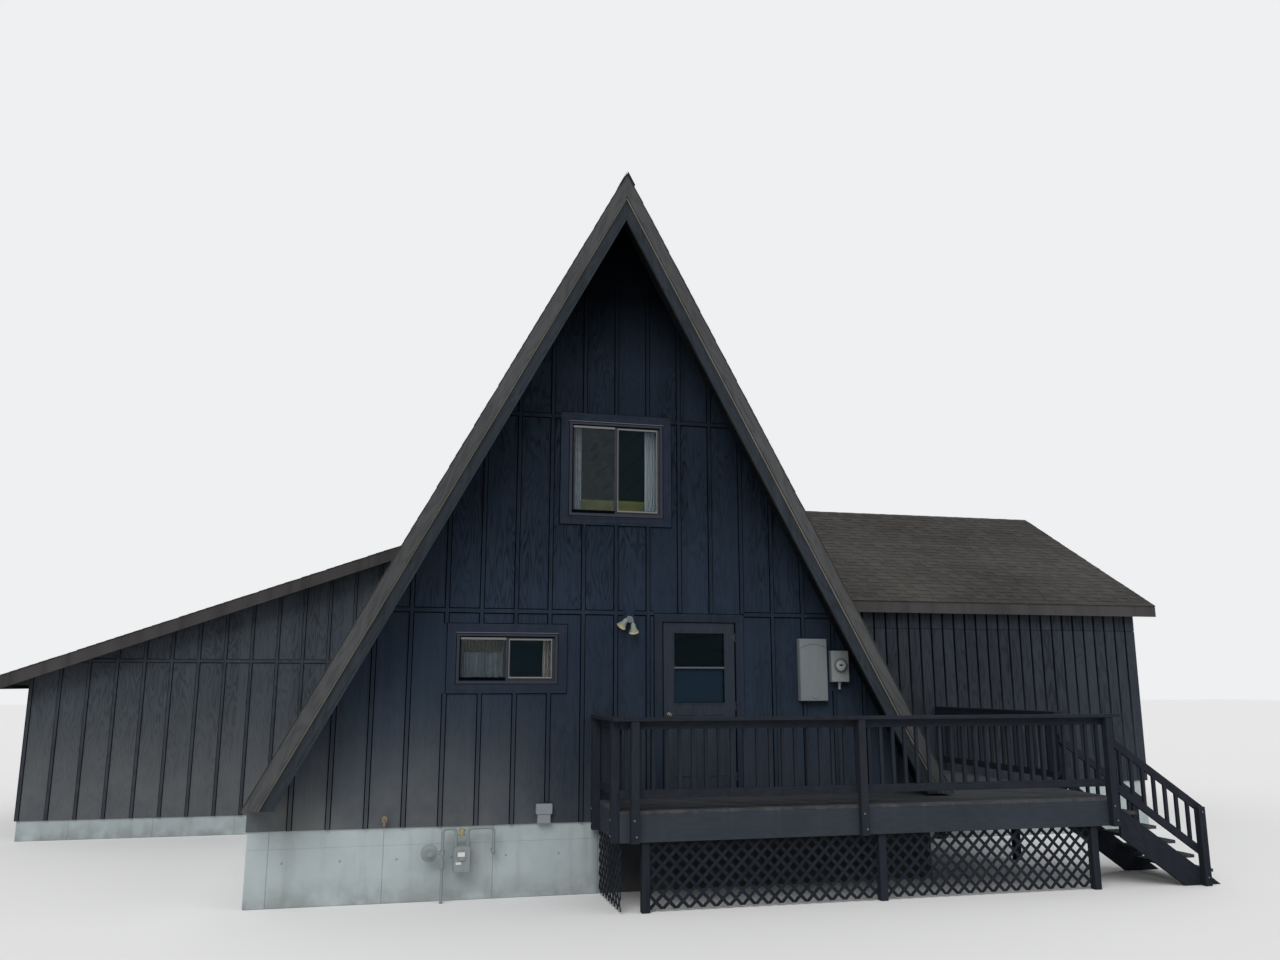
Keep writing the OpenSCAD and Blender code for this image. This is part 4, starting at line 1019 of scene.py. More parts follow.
@dataclass
class Cladding:
    """Sheets and boards of every wall."""

    left_x: float = -8.170
    left_y: float = 5.884
    left_back: float = 10.384
    left_foot: float = 0.300
    left_plate: float = 2.472
    left_slope: float = math.radians(20.3)
    right_x: float = 9.750
    right_y: float = 2.884
    right_back: float = 9.584
    right_plate: float = 3.620
    right_slope: float = math.radians(30.0)
    wing_board: float = 0.170
    wing_pitch: float = 0.203
    joint: Span = (3.262, 3.268)
    above: float = 9.0
    deep: float = 0.147

    @property
    def right_mid(self) -> float:
        """Return Y of the gabled wing's ridge."""
        return (self.right_y + self.right_back) / 2

    @property
    def right_peak(self) -> float:
        """Return the height of the gabled wing's walls at its ridge."""
        return self.right_plate + (self.right_mid - self.right_y) * math.tan(self.right_slope)

    def steep_cut(self, side: int) -> Cut:
        """Return the plane of the steep roof's left (-1) or right (1) face that a wing's boards end at."""
        return Cut(Vector((side * (HOUSE.half_width + 0.01), 0, HOUSE.floor)), -HOUSE.out(side))

    def build(self) -> None:
        """Dress the walls and build their boards."""
        self.sheets()
        self.main_battens()
        self.left_battens()
        self.right_boards()

    def sheets(self) -> None:
        """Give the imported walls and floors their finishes."""
        deep = self.deep
        front = siding("front_sheets", Lining(1, 0.03, 1), patches_and_painted_shade=PATCHES_AND_PAINTED_SHADE)
        give(front, "front_wall_left", "front_wall_right", "front_wall_upper")
        back_in = HOUSE.back - HOUSE.wall + 0.003
        give(siding("back_sheets", Lining(1, back_in, -1)), "back_wall")
        give(siding("left_front_sheets", Lining(1, self.left_y + deep, 1), BROWN), "left_wing_front_wall")
        give(siding("left_side_sheets", Lining(0, self.left_x + deep, 1), BROWN), "left_wing_side_wall")
        give(siding("wing_back_sheets", None, BROWN), "wing_back_walls")
        # Near-black sheets behind the gabled wing's boards: painted shade between them.
        give(siding("right_front_sheets", Lining(1, self.right_y + deep, 1), BEHIND_BOARDS_SHADE), "right_wing_front_wall")
        give(siding("right_end_sheets", Lining(0, self.right_x - deep, -1), BEHIND_BOARDS_SHADE), "right_wing_end_wall")
        give(Stain("floor_boards", Platform.boards, grain=0.5, roughness=0.45, lay=Lay.LEVEL_Y, grooves=BOARD_PITCH),
             "loft_floor")
        give(Platform("platform", SIDING, grain=0.9, patches_and_painted_shade=PATCHES_AND_PAINTED_SHADE, **SHEETS), "main_floor", "right_wing_floor")

    def main_battens(self) -> None:
        """Build the battens of the front and the back."""
        steps = [step * BATTEN_PITCH for step in range(-9, 10)]
        peak = Vector((0.0, 0.0, HOUSE.ridge - (HOUSE.roof + 0.001) / math.cos(HOUSE.slope)))
        slopes = [Cut(peak, HOUSE.out(side)) for side in (-1, 1)]
        windows = [TALL.keep(), LOW.keep()]
        door, deck, box = Keep(0.486, 1.634, 0.5, 3.25), Keep(-0.203, 5.944, 0.5, 1.046), Keep(-0.945, -0.74, 0.7, 1.03)
        lamp, panel, meter = Keep(0.10, 0.23, 3.10, 3.22), Keep(2.346, 2.726, 2.16, 2.95), Keep(2.774, 3.02, 2.30, 2.81)
        for name, wall, keeps in (("front_battens", FRONT, [*windows, door, deck, box, lamp, panel, meter]),
                                  ("back_battens", REAR, [keep.mirrored() for keep in windows])):
            battens = Battens(name, wall, steps, HOUSE.siding_foot, self.above, HOUSE.bands, keeps, slopes)
            battens.build(BATTEN, "charcoal_siding")

    def left_battens(self) -> None:
        """Build the battens of the lean-to wing."""
        normal = Vector((-math.sin(self.left_slope), 0, math.cos(self.left_slope)))
        cuts = (Cut(Vector((self.left_x, 0, self.left_plate)), normal), self.steep_cut(-1))
        for name, y, out, right in (("left_wing_battens", self.left_y, -BACK, ACROSS),
                                    ("left_wing_back_battens", self.left_back, BACK, -ACROSS)):
            places = [right.x * (self.left_x + 0.02 + step * BATTEN_PITCH) for step in range(16)]
            near, far = sorted((right.x * (self.left_x + 0.01), right.x * -2.2))
            Battens(name, Wall(BACK * y, right, out), places, self.left_foot, 5.2, (2.75,), (), cuts,
                    (near, far)).build(BROWN_BATTEN, "brown_siding", FAINT_SHADOW_LINE)
        window = Opening(-(self.left_y + 2.25), 1.305)
        places = [-(self.left_y + 0.02 + step * BATTEN_PITCH) for step in range(12)]
        Battens("left_wing_side_battens", Wall(ACROSS * self.left_x, -BACK, -ACROSS), places, self.left_foot,
                self.left_plate - 0.002, (), [window.keep()]).build(BROWN_BATTEN, "brown_siding", FAINT_SHADOW_LINE)

    def right_boards(self) -> None:
        """Build the upright boards of the gabled wing, spaced apart so the near-black sheets behind show between them
        as painted shade.
        """
        boards = Timber("right_wing_boards")
        wide, half, foot = self.wing_board, self.wing_board / 2, HOUSE.siding_foot
        for y, out in ((self.right_y, -BACK), (self.right_back, BACK)):
            for step in range(37):
                x = self.right_x - half + 0.008 - step * self.wing_pitch
                for low, high in ((foot, self.joint[0]), (self.joint[1], self.right_plate - 0.001)):
                    if HOUSE.roof_x(high) < x + half:
                        boards.upright(Wall(BACK * y, ACROSS, out), x, (low, high), wide, SHEET, [self.steep_cut(1)])
        tip, slope = Vector((0, self.right_mid, self.right_peak - 0.001)), self.right_slope
        gable = [Cut(tip, Vector((0, side * math.sin(slope), math.cos(slope)))) for side in (-1, 1)]
        window = Opening(self.right_mid, LOW.sill).keep()
        for step in range(33):
            y = self.right_y + half + 0.005 + step * self.wing_pitch
            taken = [(window.low, window.high)] if window.left < y + half and y - half < window.right else []
            for span in clear_spans((foot, 5.6), [*taken, self.joint]):
                boards.upright(Wall(ACROSS * self.right_x, BACK, ACROSS), y, span, wide, SHEET, gable)
        boards.piece(WING_BOARD, "grooved_siding")


# ---- roofs

SIDES = ((-1, "left"), (1, "right"))


class RoofEdges:
    """Barge and rake boards at the steep roof's ends, and the roofs' undersides."""

    def build(self) -> None:
        """Build the boards and dress the slabs."""
        h, (front, back) = HOUSE, HOUSE.ends
        for kind, y, depth, paint, slot in (("front_barge", front, h.barge, BARGE_PAINT, "barge_paint"),
                                            ("back_barge", back, h.barge, BARGE_PAINT, "barge_paint"),
                                            ("rake_board", front - h.board, h.rake, TAUPE_PAINT, "taupe_boards")):
            for side, word in SIDES:
                boards = Timber(f"{kind}_{word}_boards")
                self.band(boards, side, (0.0, depth), (y, y + h.board))
                boards.piece(paint, slot, [f"{kind}_{word}"], bevel=0.003)
        for name, depths, proud, paint, slot in (
                ("rake_strips", (h.rake, h.rake + 0.016), 0.016, PALE_PAINT, "taupe_boards"),
                ("barge_beads", (h.barge - 0.022, h.barge), 0.010, BARGE_PAINT, "barge_paint")):
            boards = Timber(name)
            for side, _ in SIDES:
                self.band(boards, side, depths, (front - proud, front))
            boards.piece(paint, slot)
        inner = Lining(1, h.front + 0.02, 1, srgb(128, 104, 72), h.back - 0.02)
        for name, lining, nodes in (("roof_boards", inner, ("roof_left", "roof_right")),
                                    ("wing_roof_boards", None, ("left_wing_roof", "right_wing_roof_front",
                                                                "right_wing_roof_back"))):
            give(Stain(name, srgb(24, 26, 29), grain=0.4, wear=0.03, lay=Lay.LEVEL_Y, grooves=BOARD_PITCH,
                       lining=lining), *nodes)

    def band(self, boards: Timber, side: int, depths: Span, faces: Span) -> None:
        """Add a sloping board from the ridge to the foot of the roof.

        Args:
            boards: Piece that takes it.
            side: -1 on the left, 1 on the right.
            depths: Depths of its upper and lower edges below the roof's outer face.
            faces: Y of its front and back faces.
        """
        h, (top, bottom), (front, back) = HOUSE, depths, faces
        cuts = (Cut(Vector((0, 0, 0)), -ACROSS * side), Cut(Vector((0, 0, h.floor)), -UP))
        length = h.half_width / math.cos(h.slope) + 1.2
        middle = Vector((0, (front + back) / 2, h.ridge)) + h.down(side) * (length / 2 - 0.6)
        middle -= h.out(side) * (top + bottom) / 2
        boards.board(middle, h.down(side), h.out(side), (length, bottom - top, back - front), cuts)


@dataclass
class RoofCovering:
    """Courses of laminated shingles on every roof, and the cap shingles over the steep ridge."""

    walls: Cladding
    exposure: float = 0.143
    lap: float = 0.02
    sheet: float = 0.004
    wing_out: float = 0.320
    eave_out: float = 0.150
    fascia: float = 0.025
    drip: float = 0.012

    def build(self) -> None:
        """Build the coverings."""
        self.steep()
        self.lean_to()
        self.gable()
        self.caps()

    def cover(self, boards: Timber, foot: Vector, uphill: Vector, along: Vector, length: float, height: float,
              start: Callable[[float], float] = lambda up: 0.0) -> None:
        """Cover one slope.

        Args:
            boards: Piece that takes the shingles.
            foot: Lower corner of the slope, where along starts.
            uphill: Direction up the slope.
            along: Direction of the courses.
            length: Length of a course.
            height: Length of the slope.
            start: Where a course starts, by its distance up the slope.
        """
        out = along.cross(uphill).normalized()
        out = -out if out.z < 0 else out
        courses = math.ceil(height / self.exposure)
        exposure, chance = height / courses, boards.chance
        tilt = math.atan(self.sheet / exposure)
        lie = (uphill * math.cos(tilt) - out * math.sin(tilt)).normalized()
        for course in range(courses):
            up = course * exposure
            first = start(up)
            deep = exposure + (0.0 if course == courses - 1 else self.lap)
            base = foot + along * ((first + length) / 2) + uphill * (up + deep / 2) + out * (self.sheet * 1.1)
            boards.board(base, along, lie, (length - first, deep, self.sheet))
            place = first - chance.uniform(0.0, 0.2)
            while place < length:
                wide = chance.uniform(0.13, 0.30)
                left, right = max(place, first), min(place + wide, length)
                if right - left > 0.03:
                    middle = foot + along * ((left + right) / 2) + uphill * (up + exposure * 0.49)
                    middle += out * (self.sheet * 2.1)
                    boards.board(middle, along, lie, (right - left, exposure * 0.98, self.sheet))
                place += wide + chance.uniform(0.06, 0.22)

    def steep(self) -> None:
        """Cover the two steep slopes."""
        h = HOUSE
        length = h.length + 2 * h.overhang + 3 * h.board + 0.005
        for side, word in SIDES:
            boards = Timber(f"shingles_{word}")
            foot = Vector((side * h.half_width, h.ends[0] - h.board - 0.005, h.floor))
            self.cover(boards, foot, -h.down(side), BACK, length, h.half_width / math.cos(h.slope))
            boards.piece(SHINGLE, "shingles", bevel=0.0)

    def lean_to(self) -> None:
        """Cover the lean-to roof."""
        walls, slope, steep = self.walls, self.walls.left_slope, math.tan(HOUSE.slope)
        rise, past = math.tan(slope), self.wing_out + self.fascia
        foot_x = walls.left_x - past + 0.005
        foot_z = walls.left_plate + (foot_x - walls.left_x) * rise + 0.150 / math.cos(slope)
        foot = Vector((foot_x, walls.left_y - past - self.drip, foot_z))
        length = walls.left_back - walls.left_y + 2 * (past + self.drip)
        top_z = (foot_z + (-foot_x - HOUSE.ridge / steep) * rise) / (1 - rise / steep)
        height = (-HOUSE.roof_x(top_z) - foot_x) / math.cos(slope) + 0.02
        boards = Timber("shingles_left_wing")
        self.cover(boards, foot, Vector((math.cos(slope), 0, math.sin(slope))), BACK, length, height)
        boards.piece(SHINGLE, "shingles", bevel=0.0)

    def gable(self) -> None:
        """Cover the two slopes of the gabled wing."""
        walls, slope = self.walls, self.walls.right_slope
        half = walls.right_mid - walls.right_y + self.eave_out + self.fascia + self.drip
        top = walls.right_peak + 0.150 / math.cos(slope)
        end = walls.right_x + self.wing_out + self.fascia
        boards = Timber("shingles_right_wing")
        foot_z = top - half * math.tan(slope)

        def start(up: float) -> float:
            """Return where a course meets the steep roof."""
            return HOUSE.roof_x(foot_z + up * math.sin(slope)) - 0.01

        for side, _ in SIDES:
            foot = Vector((0, walls.right_mid + side * half, foot_z))
            uphill = Vector((0, -side * math.cos(slope), math.sin(slope)))
            self.cover(boards, foot, uphill, ACROSS, end, half / math.cos(slope), start)
        boards.piece(SHINGLE, "shingles", bevel=0.0)

    def caps(self) -> None:
        """Fold cap shingles over the steep ridge."""
        h, boards = HOUSE, Timber("ridge_cap_shingles")
        length = h.length + 2 * h.overhang + 3 * h.board
        count = round(length / self.exposure)
        step = length / count
        for index in range(count):
            y = h.ends[1] + h.board - (index + 0.5) * step
            for side, _ in SIDES:
                lie = (BACK * math.cos(0.03) + h.out(side) * math.sin(0.03)).normalized()
                middle = Vector((0, y - 0.015, h.ridge)) + h.down(side) * 0.082 + h.out(side) * 0.0175
                cut = Cut(Vector((0, 0, 0)), -ACROSS * side)
                boards.board(middle, h.down(side), lie, (0.19, step + 0.03, 0.005), [cut])
        boards.piece(SHINGLE, "shingles", ["ridge_cap"], bevel=0.0)


# ---- windows and door

DOORWAY = Opening(1.060, HOUSE.floor, 0.948, 2.066)


@dataclass
class Casings:
    """Boards round the windows and the door."""

    wide: float = 0.100
    shadow: float = 0.016

    def build(self) -> None:
        """Build the casings, and the shadows round the front ones."""
        boards, shadow_strips = Timber("window_casing_boards"), Timber("casing_seams")
        for opening in (TALL, LOW):
            self.round(boards, opening, FRONT)
            self.round(shadow_strips, opening, FRONT, self.shadow, SHADOW)
        boards.piece(CASING, "charcoal_trim", ["window_casings"])
        others = Timber("other_casing_boards")
        end, side = Wall(ACROSS * 9.751, BACK, ACROSS), Wall(ACROSS * -8.170, -BACK, -ACROSS)
        for opening, wall in ((TALL, REAR), (Opening(-LOW.middle, LOW.sill), REAR), (Opening(6.234, LOW.sill), end),
                              (Opening(-8.134, 1.305), side)):
            self.round(others, opening, wall)
        others.piece(CASING, "charcoal_trim")
        door = Timber("door_casing_boards")
        self.round(door, DOORWAY, FRONT, foot=False)
        self.round(shadow_strips, DOORWAY, FRONT, self.shadow, SHADOW, foot=False)
        door.piece(CASING, "charcoal_trim", ["door_casing"])
        shadow_strips.piece(SHADOW_LINE, "charcoal_trim", bevel=0.0)

    def round(self, boards: Timber, opening: Opening, wall: Wall, more: float = 0.0, thick: float = SHEET,
              foot: bool = True) -> None:
        """Add the boards round an opening.

        Args:
            boards: Piece that takes them.
            opening: Its place.
            wall: The wall that it is in.
            more: How much wider than the casing each board is.
            thick: Thickness of the boards.
            foot: Whether there is one below it too.
        """
        (left, right), half = opening.sides, self.wide / 2
        for place in (left - half, right + half):
            boards.upright(wall, place, (opening.sill, opening.top), self.wide + more, thick)
        reach = self.wide + more / 2
        for z in (opening.sill - half, opening.top + half)[0 if foot else 1:]:
            boards.level(wall, (left - reach, right + reach), z, self.wide + more, thick)


@dataclass
class Sliders:
    """Finish of the sliders, their pale beads and screens, and the shadows in their frames."""

    frame: float = 0.045
    sash: float = 0.038

    def build(self) -> None:
        """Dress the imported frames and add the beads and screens."""
        give(BRONZE, "front_window_frames")
        give(Coat("other_bronze", BRONZE.colour, 0.5, dust=0.02, specular=0.1), "other_window_frames")
        give(BRONZE_SASH, "front_window_sashes")
        give(Glass("window_glass", (0.86, 0.90, 0.92)), "front_window_glass", "other_window_glass")
        give(Glass("door_light", (0.32, 0.35, 0.38)), "door_glass")
        self.screens()
        self.beads()

    def screens(self) -> None:
        """Stretch an insect screen outside the left half of each front slider."""
        edge, y = self.frame + self.sash - 0.006, HOUSE.front + 0.006
        for word, opening in (("upper", TALL), ("lower", LOW)):
            screen = Timber(f"{word}_screen")
            left, right = opening.sides[0] + edge, opening.middle - self.sash / 2 + 0.006
            screen.box((left, y - 0.0003, opening.sill + edge), (right, y + 0.0003, opening.top - edge), UP)
            screen.piece(Screen("screen_mesh", srgb(62, 70, 72)), "bronze_sash", bevel=0.0)

    def beads(self) -> None:
        """Lay the beads round the right panes and over the left ones, the lips and the shadows."""
        beads, lips, dark = Timber("glazing_beads"), Timber("frame_lips"), Timber("frame_grooves")
        face, inner, deep = HOUSE.front, self.frame, self.frame + self.sash
        near_y, far_y = face + 0.002, face + 0.010
        for opening in (TALL, LOW):
            (x0, x1), z0, z1 = opening.sides, opening.sill, opening.top
            lips.box((x0, face - 0.015, z1 - 0.010), (x1, face - 0.012, z1), ACROSS)
            # Thin near-black strips inside each frame and along the sashes' top, the left sash's foot and its left
            # stile: painted shadow.
            dark.ring((x0 + 0.004, x1 - 0.004), (z0 + 0.004, z1 - 0.011), (face - 0.0134, face - 0.0120), 0.007)
            left, right, low, high = x0 + inner, opening.middle - self.sash / 2, z0 + deep, z1 - deep
            beads.ring((opening.middle + self.sash / 2 - 0.004, x1 - deep + 0.004), (low - 0.010, high + 0.010),
                       (face - 0.004, face + 0.0245), 0.018, 0.010)
            top = z1 - inner
            beads.box((left + 0.014, near_y, high - 0.004), (right, far_y, high + 0.022), ACROSS)
            dark.box((left, near_y, z0 + inner), (right, far_y, low + 0.004), ACROSS)
            dark.box((left, near_y, top - 0.014), (x1 - inner, far_y, top), ACROSS)
            dark.box((left, near_y, low + 0.004), (left + 0.014, far_y, top - 0.014), UP)
        beads.piece(BEAD, "bronze_sash", bevel=0.001)
        lips.piece(LIP_BRONZE, "bronze_frame", bevel=0.001)
        dark.piece(SHADOW_LINE, "bronze_frame", bevel=0.0)


@dataclass
class Curtains:
    """Gathered curtains on their tracks inside the front windows, and the ledge inside the upper one."""

    inside: float = 0.034
    thickness: float = 0.001
    reach: float = 0.62
    ledge: float = 0.60

    def build(self) -> None:
        """Hang the curtains."""
        cream, rose = Cloth("cream_curtain", srgb(182, 188, 192)), Cloth("rose_curtain", srgb(168, 158, 152))
        sand = Cloth("sand_curtain", srgb(128, 136, 142), srgb(98, 105, 110))
        brown = Cloth("brown_valance", srgb(116, 96, 76))
        low, top = self.track("upper_track", TALL)
        self.hang("upper_left_curtain", cream, (-0.61, -0.415), (low, top), 6)
        self.hang("upper_right_curtain", cream, (0.41, 0.61), (low, top), 6)
        low, top = self.track("lower_track", LOW)
        middle = LOW.middle
        left = (middle - 0.60, middle - 0.03)
        self.hang("lower_left_curtain", sand, left, (low, top - 0.21), 9)
        self.hang("lower_valance", brown, left, (top - 0.24, top), 14, 0.03)
        self.hang("lower_right_curtain", rose, (middle + 0.445, middle + 0.60), (low, top), 4)
        ledge, sill, y, half = Timber("upper_ledge"), TALL.sill, self.inside, self.ledge
        ledge.box((-half, y, sill - 0.01), (half, y + 0.19, sill + 0.012), ACROSS)
        ledge.box((-half, y + 0.15, sill + 0.012), (half, y + 0.17, sill + 0.268), ACROSS)
        ledge.piece(INNER_WOOD, "floor_boards")

    def track(self, name: str, opening: Opening) -> Span:
        """Fix a curtain track over a window and return the heights of its curtains' hems and headings."""
        track, top = Timber(name), opening.top - 0.02
        track.box((opening.middle - self.reach, self.inside, top + 0.01),
                  (opening.middle + self.reach, self.inside + 0.06, top + 0.03), ACROSS)
        track.piece(Coat("track_white", srgb(180, 180, 176), 0.4), "bronze_frame", bevel=0.001)
        return opening.sill + 0.05, top

    def hang(self, name: str, cloth: Cloth, xs: Span, zs: Span, folds: int, lie: float = 0.0) -> None:
        """Hang a gathered curtain.

        Args:
            name: Name of the curtain.
            cloth: Its cloth.
            xs: X of its edges.
            zs: Heights of its hem and its heading.
            folds: Number of its folds.
            lie: How much further inside it hangs.
        """
        (left, right), (low, high) = xs, zs
        drop = high - low
        mesh = bmesh.new()
        grid = bmesh.ops.create_grid(mesh, x_segments=folds * 10, y_segments=12, size=0.5)["verts"]
        chance = random.Random(name)
        lean = [chance.uniform(-0.25, 0.25) for _ in range(folds + 1)]
        spots = {}
        for vert in grid:
            across, up = spots[vert] = (vert.co.x + 0.5, vert.co.y + 0.5)
            own = lean[min(int(across * folds), folds - 1)]
            amount = 0.016 + 0.008 * (1 - up) + 0.004 * own
            phase = across * folds * math.tau + 0.4 * own * (1 - up)
            x = left + (right - left) * across + 0.006 * math.sin(2 * phase)
            vert.co = Vector((x, self.inside + 0.034 + lie + amount * math.sin(phase), low + drop * up))
        width = sum(face.calc_area() for face in mesh.faces) / drop
        grain = mesh.loops.layers.uv.new(GRAIN)
        for face in mesh.faces:
            for loop in face.loops:
                across, up = spots[loop.vert]
                loop[grain].uv = (across * width, up * drop)
        curtain = dress(name, mesh, cloth, smooth=True)
        curtain.modifiers.new("cloth", "SOLIDIFY").thickness = self.thickness


@dataclass
class DoorParts:
    """Finish of the door, its mouldings, the shade behind its lower pane and its sill plate."""

    x: float = DOORWAY.middle
    face: float = HOUSE.front
    foot: float = 1.097
    leaf: float = 2.032
    rail: float = 0.130
    lights: float = 0.840
    bar: float = 0.034

    def wide(self, half: float) -> Span:
        """Return the ends of what reaches half a width to both sides of the door's middle."""
        return self.x - half, self.x + half

    def build(self) -> None:
        """Dress the door and add its small parts."""
        give(DOOR_PAINT, "door")
        give(Stain("door_frame_stain", srgb(13, 16, 23), grain=0.3, lay=Lay.UPRIGHT), "door_frame")
        give(Coat("hinge_steel", srgb(52, 54, 56), 0.5, 0.4, dust=0.05, specular=0.2), "door_hinges", "door_knuckles")
        give(Coat("knob_metal", srgb(96, 92, 84), 0.4, 0.8, dust=0.05), "door_knob")
        top, pane = self.foot + self.leaf - self.rail, (self.lights - self.bar) / 2
        middle = top - pane - self.bar / 2
        proud, face = (self.face - 0.006, self.face), self.face
        trims, shadow_lines = Timber("door_mouldings"), Timber("door_moulding_gaps")
        # Within each ring of mouldings, a thin near-black ring at the pane's edge: painted shadow.
        for high in (top, top - pane - self.bar):
            trims.ring(self.wide(0.336), (high - pane - 0.016, high + 0.016), proud, 0.016)
            shadow_lines.ring(self.wide(0.321), (high - pane - 0.001, high + 0.001), (face - 0.0066, face), 0.005)
        self.strip(trims, 0.320, (face - 0.0045, face), (middle - 0.001, middle + 0.001))
        trims.piece(DOOR_PAINT, "door_paint", body=DOOR)
        shadow_lines.piece(SHADOW_LINE, "door_paint", body=DOOR, bevel=0.0)
        lip = Timber("door_bar_lip")
        self.strip(lip, 0.320, (face - 0.011, face - 0.006), (middle - 0.006, middle + 0.006))
        lip.piece(Coat("lip_paint", srgb(92, 100, 104), 0.5, specular=0.2), "door_paint", body=DOOR, bevel=0.0015)
        panel = Timber("door_panel_mouldings")
        for xs in ((self.x - 0.335, self.x - 0.030), (self.x + 0.030, self.x + 0.335)):
            panel.ring(xs, (self.foot + 0.19, self.foot + 0.93), proud, 0.018)
        panel.piece(DOOR_PAINT, "door_paint", body=DOOR)
        shade = Timber("door_shade")
        self.strip(shade, 0.316, (face + 0.0335, face + 0.0355), (top - self.lights, top - pane - 0.030))
        cloth = Coat("shade_cloth", srgb(92, 116, 140), 0.9, dust=0.05, specular=0.1)
        shade.piece(cloth, "door_light", body=DOOR, bevel=0.0)
        sill = Timber("door_sill_plate")
        self.strip(sill, 0.463, (face - 0.010, 0.02), (1.0902, 1.0918))
        sill.piece(GALVANISED, "hinge_steel", bevel=0.0006)

    def strip(self, boards: Timber, half: float, ys: Span, zs: Span) -> None:
        """Add a level strip that reaches half its length to both sides of the door's middle."""
        left, right = self.wide(half)
        boards.box((left, ys[0], zs[0]), (right, ys[1], zs[1]), ACROSS)


# ---- deck and stair


@dataclass
class Deck:
    """Timber deck along the front and its right side, with posts, rails and lattice."""

    left: float = -0.203
    right: float = 5.944
    front: float = -1.310
    side: float = 4.130
    wing: float = 2.884
    floor: float = 1.045
    board: float = 0.038
    rim_low: float = 0.721
    post: float = 0.089
    rail_top: float = 2.025
    low_rail: float = 1.263
    baluster: float = 0.038
    pitch: float = 0.150
    stair_back: float = -0.220
    seam: float = 2.600
    joists: float = 0.406
    gap: float = 0.0025
    under: Sequence[float] = (0.095, 2.850, 5.605)
    lath: Point = (0.036, 0.006)
    laths: float = 0.150

    @property
    def rim_top(self) -> float:
        """Return the height of the rim's top."""
        return self.floor - self.board

    @property
    def cap(self) -> float:
        """Return the height of the underside of the railing's cap."""
        return self.rail_top - self.board

    def build(self) -> None:
        """Build the deck."""
        self.floor_boards()
        self.framing()
        self.posts()
        self.railings()
        self.lattice()

    def floor_boards(self) -> None:
        """Lay the floor's boards and drive their screws."""
        boards, low, high = Timber("deck_floor_boards"), self.rim_top, self.floor
        screws: list[tuple[Vector, Vector]] = []
        step = (HOUSE.front - self.front) / 8
        for row in range(8):
            y0, y1 = self.front + row * step, self.front + (row + 1) * step
            joint = self.left + 0.019 + (7 if row % 2 else 9) * self.joists
            for x0, x1 in ((self.left, joint - 0.001), (joint + 0.001, self.right)):
                boards.box((x0, y0 + self.gap, low), (x1, y1 - self.gap, high), ACROSS)
            for joist in range(16):
                x = min(self.left + 0.019 + joist * self.joists, self.right - 0.019)
                screws += [(Vector((x, y0 + part * step, high)), UP) for part in QUARTERS]
        step = (self.right - self.side) / 12
        for column in range(12):
            x0, x1 = self.side + column * step, self.side + (column + 1) * step
            boards.box((x0 + self.gap, HOUSE.front + self.gap, low), (x1 - self.gap, self.wing, high), BACK)
            for joist in range(8):
                y = min(HOUSE.front + 0.03 + joist * self.joists, self.wing - 0.019)
                screws += [(Vector((x0 + part * step, y, high)), UP) for part in QUARTERS]
        boards.piece(BOARD_STAIN, "deck_boards", ["deck_floor"], bevel=0.003)
        SCREWS.build("deck_screws", screws)

    def framing(self) -> None:
        """Build the rims, the beam and the joists."""
        boards, wall, thick = Timber("deck_rims_and_joists"), HOUSE.front, self.board
        left, right, front = self.left + thick, self.right - thick, self.front + thick
        beam = front + 2 * thick
        rows = [(self.left, self.seam - 0.001, self.front, front), (self.seam + 0.001, self.right, self.front, front),
                (left, right, front, front + thick), (left, right, front + thick, beam), (self.left, left, front, wall),
                (right, self.right, front, self.wing), (left, right, wall - thick, wall),
                (self.side, right, self.wing - thick, self.wing),
                (self.side, self.side + thick, wall, self.wing - thick)]
        steps = [index * self.joists for index in range(1, 15)]
        rows += [(self.left + step, left + step, beam, wall - thick) for step in steps]
        rows += [(self.side + thick, right, wall - thick + step, wall + step) for step in steps[:7]]
        for x0, x1, y0, y1 in rows:
            boards.box((x0, y0, self.rim_low), (x1, y1, self.rim_top), ACROSS if x1 - x0 > y1 - y0 else BACK)
        boards.piece(RIM_STAIN, "deck_stain", ["deck_frame"])

    def posts(self) -> None:
        """Build the posts under the deck and the bolted railing posts."""
        under, post, half = Timber("deck_post_timbers"), self.post, self.post / 2
        spots = [(x - half, self.front + self.board) for x in self.under]
        spots += [(x, y) for x in (self.side, self.right - post) for y in (HOUSE.front + 0.900, self.wing - post)]
        for x, y in spots:
            under.box((x, y, 0.0), (x + post, y + post, self.rim_low), UP)
        under.piece(DECK_STAIN, "deck_stain", ["deck_posts"], bevel=0.003)
        rails = Timber("rail_post_timbers")
        bolts: list[tuple[Vector, Vector]] = []
        y = self.front - post
        rows = [(x - half, y, -BACK) for x in (-0.050, self.seam, self.right - 0.109)]
        rows += [(self.left - post, y, -ACROSS) for y in (self.front + 0.020, HOUSE.front - post - 0.020)]
        rows += [(self.right, y, ACROSS) for y in (self.stair_back, self.wing - post - 0.020)]
        for x, y, out in rows:
            rails.box((x, y, self.rim_low), (x + post, y + post, self.cap), UP)
            for shift, z in ((0.012, self.rim_low + 0.07), (-0.012, self.rim_top - 0.05)):
                spot = Vector((x + half, y + half, z)) + out * half
                bolts.append((spot + ACROSS * (shift if out.y else 0.0), out))
        rails.piece(DECK_STAIN, "deck_stain", ["rail_posts"], bevel=0.003)
        BOLTS.build("rail_post_bolts", bolts)

